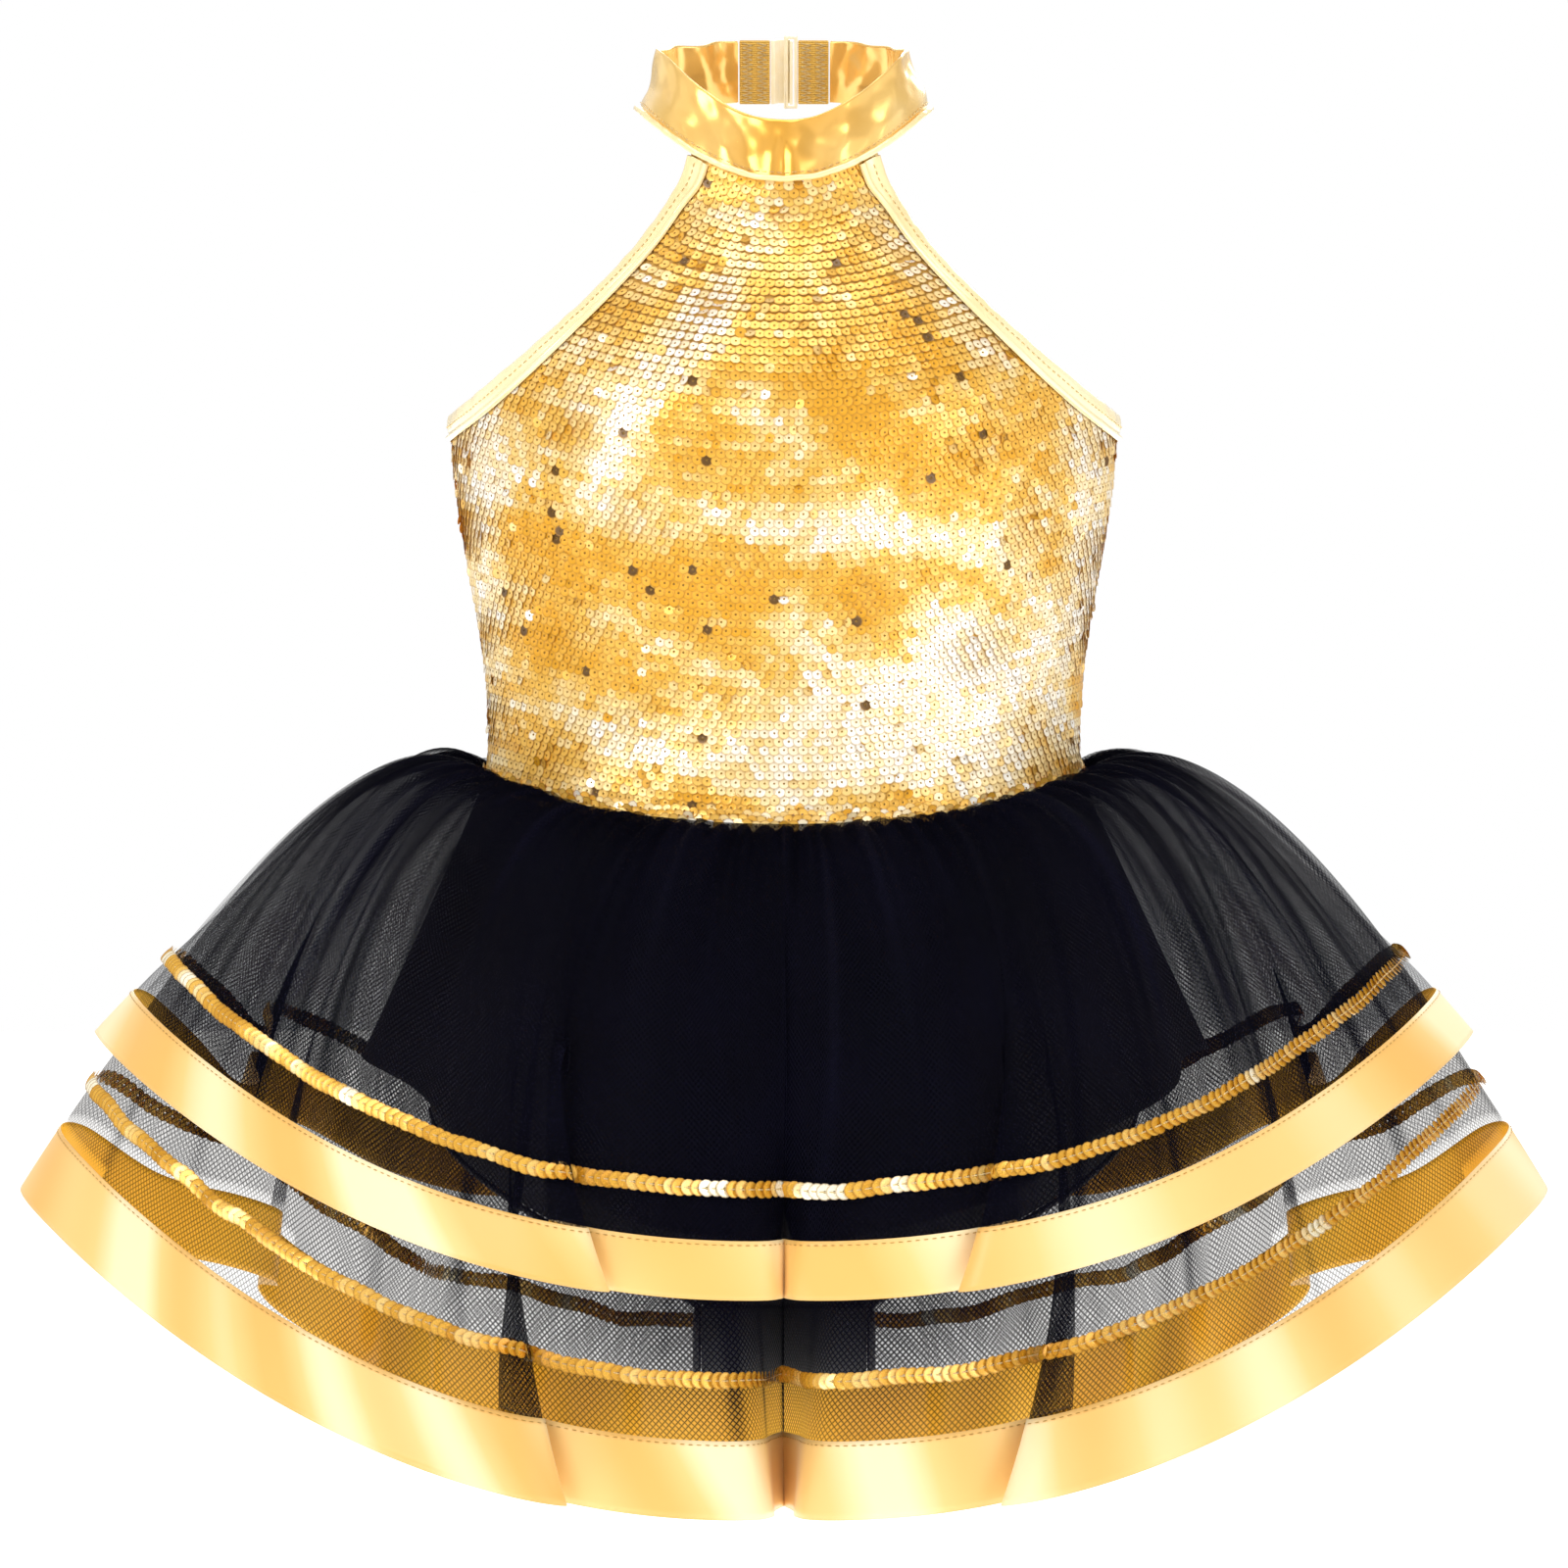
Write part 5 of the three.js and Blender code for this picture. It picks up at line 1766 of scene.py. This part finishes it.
@dataclass
class Skirt:
    """Both tiers, their trims and the lining skirt.

    Attributes:
        form: body form with its seam lines.
        lining_side: height of the lining's hem at the side.
        hem_inset: how far a tier's widest point stays inside its CAD ribbon.
    """

    form: BodyForm
    lining_side: float = -101.0
    hem_inset: float = 2.0

    def lower_tier(self) -> Tier:
        """Lower tier: two deep flutes each side of a valley in front, and side tips."""
        low, high = node_box("lower_ribbon")
        width = high[0] - self.hem_inset
        plan = [
            (0, -96), (4, -118), (5, -140), (14, -152), (45, -156), (75, -150), (94, -138),
            (100, -143), (92, -153), (79, -159), (79, -166), (95, -170), (130, -161), (180, -134),
            (225, -97), (262, -52), (width, -8), (270, 14, 8), (240, 22, 12), (208, 20, 26),
            (192, 30, 30), (188, 46, 28), (196, 62, 22), (190, 86, 14), (164, 106, 8),
            (150, 94, 6), (134, 112, 4), (130, 134, 0), (105, 142, 4), (84, 128, 4), (62, 146, 0),
            (52, 160, 0), (28, 164, 2), (10, 152, 4), (0, 150, 4)]
        return Tier("lower", self.form, plan, side_height=-153.0, front_height=low[2] + 2.5,
                    back_height=-268.0, width=width, length=256.0, fullness=156.0, puff=0.7,
                    front_curve=1.6, seed=61, dense=0.55)

    def upper_tier(self) -> Tier:
        """Upper tier: one broad flute each side of the centre pleat, and side tips."""
        width = node_box("upper_ribbon")[1][0] - self.hem_inset
        plan = [
            (0, -150), (2, -160), (9, -168), (35, -172), (60, -169), (77, -160), (82, -165),
            (73, -173), (62, -178), (68, -183), (92, -180), (125, -169), (165, -143), (205, -103),
            (236, -58), (width, -8), (245, 15, 2), (226, 24, -4), (210, 24, -12), (200, 40, -8),
            (204, 62, 2), (184, 96, 4), (166, 92, 4), (150, 122, 0), (122, 142, 0), (102, 136, 4),
            (80, 158, 0), (48, 168, 0), (30, 160, 4), (12, 168, 0), (0, 166, 0)]
        return Tier("upper", self.form, plan, side_height=-95.0, front_height=-180.0,
                    back_height=-182.0, width=width, length=190.0, fullness=170.0, puff=1.1,
                    front_curve=2.0, seed=71, start=4.6, dense=0.08)

    def build_net(self, tier: Tier, name: str, points: Array, finish: Finish, nodes: Sequence[str],
                  ribbon: float) -> bpy.types.Object:
        """One layer of tulle above a ribbon of the given width, as gathered cloth."""
        piece = cloth_object(name, points, material(finish), True,
                             values={"gather": tier.gather_values(points, ribbon)}, gathered=True)
        place(piece, "tulle", list(nodes))
        hem = np.vstack([points[0], points[0][:1]])
        width = float(run_along(hem)[-1]) * MM
        area = tier.net_area(points)
        return piece

    def build(self) -> None:
        """All layers of the skirt, from the inside out."""
        self.build_lining()
        lower = self.lower_tier()
        points = lower.grid()
        trim = HemTrim(lower, ribbon=29.0, above=22.0)
        self.build_net(lower, "lower_net", points, Finish.NET,
                       ["lower_tulle_front", "lower_tulle_back"],
                        trim.ribbon)
        trim.build_ribbon(points)
        trim.build_sequins(points, 81)
        upper = self.upper_tier()
        trim = HemTrim(upper, ribbon=22.0, above=19.0)
        inner = upper.grid(-4.0, 5, 0.985)
        self.build_net(upper, "upper_inner_net", inner, Finish.INNER_NET,
                       ["upper_tulle_inner_front", "upper_tulle_inner_back"],
                       trim.ribbon)
        points = upper.grid()
        self.build_net(upper, "upper_net", points, Finish.NET,
                       ["upper_tulle_outer_front", "upper_tulle_outer_back"],
                       trim.ribbon)
        trim.build_ribbon(points)
        trim.build_sequins(points, 82)

    def build_lining(self) -> None:
        """Opaque lining skirt: a short cone with soft flutes, in front and behind."""
        form = self.form
        low, high = node_box("skirt_lining_front")
        for half, start in (("front", -QUARTER), ("back", QUARTER)):
            angle = np.linspace(start, start + HALF, 240)[None, :]
            share = np.linspace(1, 0, 60)[:, None]
            side = np.sin(angle) ** 2
            waist = form.point(angle, form.waist_seam(angle) - 5.0, 2.6)
            hem = np.stack(np.broadcast_arrays(
                (high[0] - 4) * np.sin(angle), (low[1] + 4) * np.cos(angle),
                mix(low[2] + 1.0, self.lining_side, side)), axis=-1)
            flutes = 4.0 * share**1.4 * np.sin(angle * 13 + 0.8 * np.sin(3 * angle))
            away = np.stack([np.sin(angle), -np.cos(angle), 0 * angle], axis=-1)
            points = mix(waist, hem, share[..., None]) + flutes[..., None] * away
            piece = cloth_object(f"skirt_lining_{half}_knit", points, material(Finish.LINING),
                                 thickness=0.4)
            place(piece, "lining_knit", [f"skirt_lining_{half}"])
            width, length = float(run_along(points)[0, -1]) * MM, CUTS.lining
            area = min(cloth_area(points), width * length)


# ---------------------------------------------------------------------- waist and brief
@dataclass
class Waist:
    """Waist elastic inside the seam and the binding tape over the skirt's head."""

    form: BodyForm

    def build(self) -> None:
        """Both rings."""
        form = self.form
        angle = np.linspace(0, FULL, 720, endpoint=False)[None, :]
        v = np.linspace(0, 1, 12)[:, None]
        ripple = 0.22 * np.sin(angle * 110) * np.sin(HALF * v)
        points = form.point(angle, form.waist_seam(angle) + mix(-20, -0.5, v), 2.0 + ripple)
        piece = cloth_object("waist_elastic_web", points, material(Finish.SHIRRED), True, 0.7)
        place(piece, "elastic_web", ["waist_elastic"])
        length = float(run_along(points).max()) * MM
        profile = smooth_path([(0.2, 1.3), (1.2, 1.5), (1.5, 1.9), (0.9, 2.3), (-0.6, 2.6),
                               (-2.4, 2.8)], False, 14)
        points = form.point(angle, form.waist_seam(angle) + profile[:, :1],
                            profile[:, 1:] + 0.15 * np.sin(angle * 140))
        piece = cloth_object("waist_seam_binding", points[::-1], material(Finish.GROUND), True)
        place(piece, "satin_ribbon", ["waist_seam_tape"])
        width = float(run_along(np.swapaxes(points, 0, 1)).mean(axis=0)[-1]) * MM
        max(width, CUTS.waist_tape)


@dataclass
class Brief:
    """Built-in brief: two panels, a gusset and the leg edges.

    Attributes:
        form: body form with its seam lines.
        leg_side: height of the leg line at the side seam.
        gusset_half: half width of the gusset.
        gusset_sag: how far the gusset hangs below the panels.
    """

    form: BodyForm
    leg_side: float = -120.0
    gusset_half: float = 30.0
    gusset_sag: float = 32.0

    @property
    def gusset_angle(self) -> float:
        """Angle at which the leg line leaves the gusset."""
        return math.asin(self.gusset_half / self.form.widths[0])

    def leg_line(self, angle: Array) -> Array:
        """Height of the leg line: level over the gusset, then climbing to the side seam."""
        front = np.cos(angle) >= 0
        centre = np.where(front, np.abs(angle), np.abs(HALF - np.abs(angle)))
        climb = np.clip((centre - self.gusset_angle) / (QUARTER - self.gusset_angle), 0, 1)
        hollow = np.where(front, climb**0.9, climb**1.3)
        return mix(self.form.heights[0], self.leg_side, hollow)

    def gusset_point(self, x: Array, turn: Array, offset: Any) -> Array:
        """Half an ellipse hung between the two panels: y and z by the cosine and sine of turn."""
        front, back = self.form.fronts[0], self.form.backs[0]
        y = (back - front) / 2 - ((back + front) / 2 + offset) * np.cos(turn)
        z = self.form.heights[0] - 0.2 - (self.gusset_sag + offset) * np.sin(turn)
        return np.stack(np.broadcast_arrays(x, y, z), axis=-1)

    def build(self) -> None:
        """Panels, gusset and leg edges."""
        form = self.form
        for half, start in (("front", -QUARTER), ("back", QUARTER)):
            angle = np.linspace(start, start + HALF, 180)[None, :]
            v = np.linspace(0, 1, 60)[:, None]
            z = mix(self.leg_line(angle), form.waist_seam(angle) - 0.5, v)
            slack = 0.6 * waves(angle * 120, z, 91, 40.0) * np.sin(HALF * v)
            points = form.point(angle, z, 0.5 + slack * 0.5)
            piece = cloth_object(f"brief_{half}_knit", points, material(Finish.LINING),
                                 thickness=0.5)
            place(piece, "lining_knit", [f"brief_{half}"])
            width, length = float(run_along(points).max()) * MM, CUTS.brief
            min(cloth_area(points), width * length)
        x = np.linspace(-1, 1, 40)[None, :] * self.gusset_half
        turn = np.linspace(0, HALF, 70)[:, None]
        points = self.gusset_point(x, turn, 0.4 + 0.3 * np.cos(x / 7))
        piece = cloth_object("gusset_knit", points[::-1], material(Finish.LINING), thickness=0.5)
        place(piece, "lining_knit", ["gusset"])
        length = float(run_along(np.swapaxes(points, 0, 1)).max()) * MM
        for side, sign in (("left", 1), ("right", -1)):
            self.build_leg_edge(side, sign)

    def build_leg_edge(self, side: str, sign: int) -> None:
        """Leg edge: a covered elastic with small puckers, all round one leg opening."""
        first = self.gusset_angle + 2.2 / self.form.widths[0]
        angle = np.linspace(first, HALF - first, 40)
        z = self.leg_line(angle) - 1.9
        top = self.form.point(angle, z, 0.4)
        turn = np.linspace(HALF, 0, 16)[1:-1]
        under = self.gusset_point(np.full_like(turn, self.gusset_half + 2.0), turn, 0.4)
        path = smooth_path(np.vstack([top, under]) * np.array([sign, 1.0, 1.0]), True, 460)
        run = run_along(path)
        radius = 1.15 + 0.18 * np.sin(run * FULL / 3.1)
        piece = tube_object(f"leg_edge_{side}", path, radius, material(Finish.SHIRRED), 10, True)
        place(piece, "lining_knit", [f"leg_elastic_{side}"])


# ---------------------------------------------------------------------- studio
@dataclass
class Studio:
    """Pale floor, soft lights and the camera.

    Attributes:
        distance: camera to object, in metres.
        elevation: camera above the horizon, in degrees.
        lens: focal length, in millimetres on a 36 mm sensor.
        aim: height that the camera looks at, in metres.
        floor: height of the floor, in metres.
    """

    distance: float = 4.0
    elevation: float = 2.0
    lens: float = 250.0
    aim: float = -0.0036
    floor: float = -0.9

    def build(self) -> None:
        """Everything that isn't the object."""
        self.build_camera()
        self.build_floor()
        self.build_world()
        self.light("key_panel", (-1.9, -2.6, 1.9), 1.6, 1.3, 40)
        self.light("fill_panel", (2.3, -2.4, 0.9), 1.4, 1.6, 18)
        self.light("top_panel", (0.0, -0.5, 2.6), 1.8, 1.2, 24)
        self.light("back_panel", (0.6, 2.7, 1.5), 2.2, 1.4, 34)

    def build_camera(self) -> None:
        """Camera in front, a little above the waist, looking along +Y."""
        data = bpy.data.cameras.new("camera")
        data.lens = self.lens
        data.sensor_width = 36.0
        data.clip_end = 60.0
        camera = bpy.data.objects.new("camera", data)
        bpy.context.scene.collection.objects.link(camera)
        tilt = math.radians(self.elevation)
        camera.location = (0.0, -self.distance * math.cos(tilt),
                           self.aim + self.distance * math.sin(tilt))
        camera.rotation_euler = (QUARTER - tilt, 0.0, 0.0)
        bpy.context.scene.camera = camera
        bpy.context.scene.view_settings.view_transform = "Standard"

    def build_floor(self) -> None:
        """A wide plain floor under the object."""
        turn = np.linspace(0, FULL, 96, endpoint=False)
        radius = np.array([14000.0, 4000.0, 1.0])[:, None]
        points = np.stack(np.broadcast_arrays(
            radius * np.cos(turn), radius * np.sin(turn), self.floor / MM), axis=-1)
        graph = ShaderGraph("floor_paint")
        haze = graph.noise(graph.object_place(), 0.6)
        paint = graph.finish({
            "Base Color": graph.ramp(haze, [(0.0, (0.93, 0.93, 0.93)), (1.0, (0.97, 0.97, 0.97))]),
            "Roughness": 0.9,
            "Specular IOR Level": 0.1,
            "Emission Color": (1.0, 1.0, 1.0, 1.0),
            "Emission Strength": 0.85,
        })
        floor = new_object("floor", points.reshape(-1, 3), grid_faces(3, 96, True), paint)

    def build_world(self) -> None:
        """White surround for the eye; as a light it has soft dark bands that metal reflects."""
        world = bpy.data.worlds.new("studio_surround")
        world.use_nodes = True
        tree = world.node_tree
        tree.nodes.clear()
        seen = tree.nodes.new("ShaderNodeBackground")
        seen.inputs["Color"].default_value = (1.0, 1.0, 1.0, 1.0)
        seen.inputs["Strength"].default_value = 1.0
        place = tree.nodes.new("ShaderNodeTexCoord")
        bands = tree.nodes.new("ShaderNodeTexNoise")
        bands.inputs["Scale"].default_value = 1.7
        bands.inputs["Detail"].default_value = 1.0
        tone = tree.nodes.new("ShaderNodeValToRGB")
        tone.color_ramp.elements[0].position = 0.38
        tone.color_ramp.elements[0].color = (0.55, 0.52, 0.47, 1.0)
        tone.color_ramp.elements[1].position = 0.62
        tone.color_ramp.elements[1].color = (1.0, 0.98, 0.95, 1.0)
        lit = tree.nodes.new("ShaderNodeBackground")
        lit.inputs["Strength"].default_value = 0.95
        path = tree.nodes.new("ShaderNodeLightPath")
        blend = tree.nodes.new("ShaderNodeMixShader")
        output = tree.nodes.new("ShaderNodeOutputWorld")
        tree.links.new(place.outputs["Generated"], bands.inputs["Vector"])
        tree.links.new(bands.outputs["Fac"], tone.inputs["Fac"])
        tree.links.new(tone.outputs["Color"], lit.inputs["Color"])
        tree.links.new(path.outputs["Is Camera Ray"], blend.inputs[0])
        tree.links.new(lit.outputs[0], blend.inputs[1])
        tree.links.new(seen.outputs[0], blend.inputs[2])
        tree.links.new(blend.outputs[0], output.inputs[0])
        bpy.context.scene.world = world

    def light(self, name: str, where: tuple[float, float, float], width: float, height: float,
              power: float) -> None:
        """A soft panel that faces the object's middle.

        Args:
            name: name of the light.
            where: place, in metres.
            width, height: size of the panel, in metres.
            power: power in watts.
        """
        data = bpy.data.lights.new(name, "AREA")
        data.shape = "RECTANGLE"
        data.size = width
        data.size_y = height
        data.energy = power
        lamp = bpy.data.objects.new(name, data)
        lamp.location = where
        away = np.array(where)
        lamp.rotation_euler = (
            math.acos(away[2] / np.linalg.norm(away)), 0.0, math.atan2(away[1], away[0]) + QUARTER)
        bpy.context.scene.collection.objects.link(lamp)


def main() -> None:
    """Builds the sub-assemblies in order and reports each piece."""
    logging.basicConfig(level=logging.INFO, format="%(name)s %(message)s")
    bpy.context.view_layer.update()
    Studio().build()
    form = BodyForm()
    bodice = Bodice(form)
    bodice.build_panels()
    bodice.build_sequins()
    bodice.build_bindings()
    collar = Collar(form)
    collar.build_band()
    collar.build_ends()
    collar.build_clasp()
    Waist(form).build()
    Brief(form).build()
    Skirt(form).build()


if __name__ == "__main__":
    main()
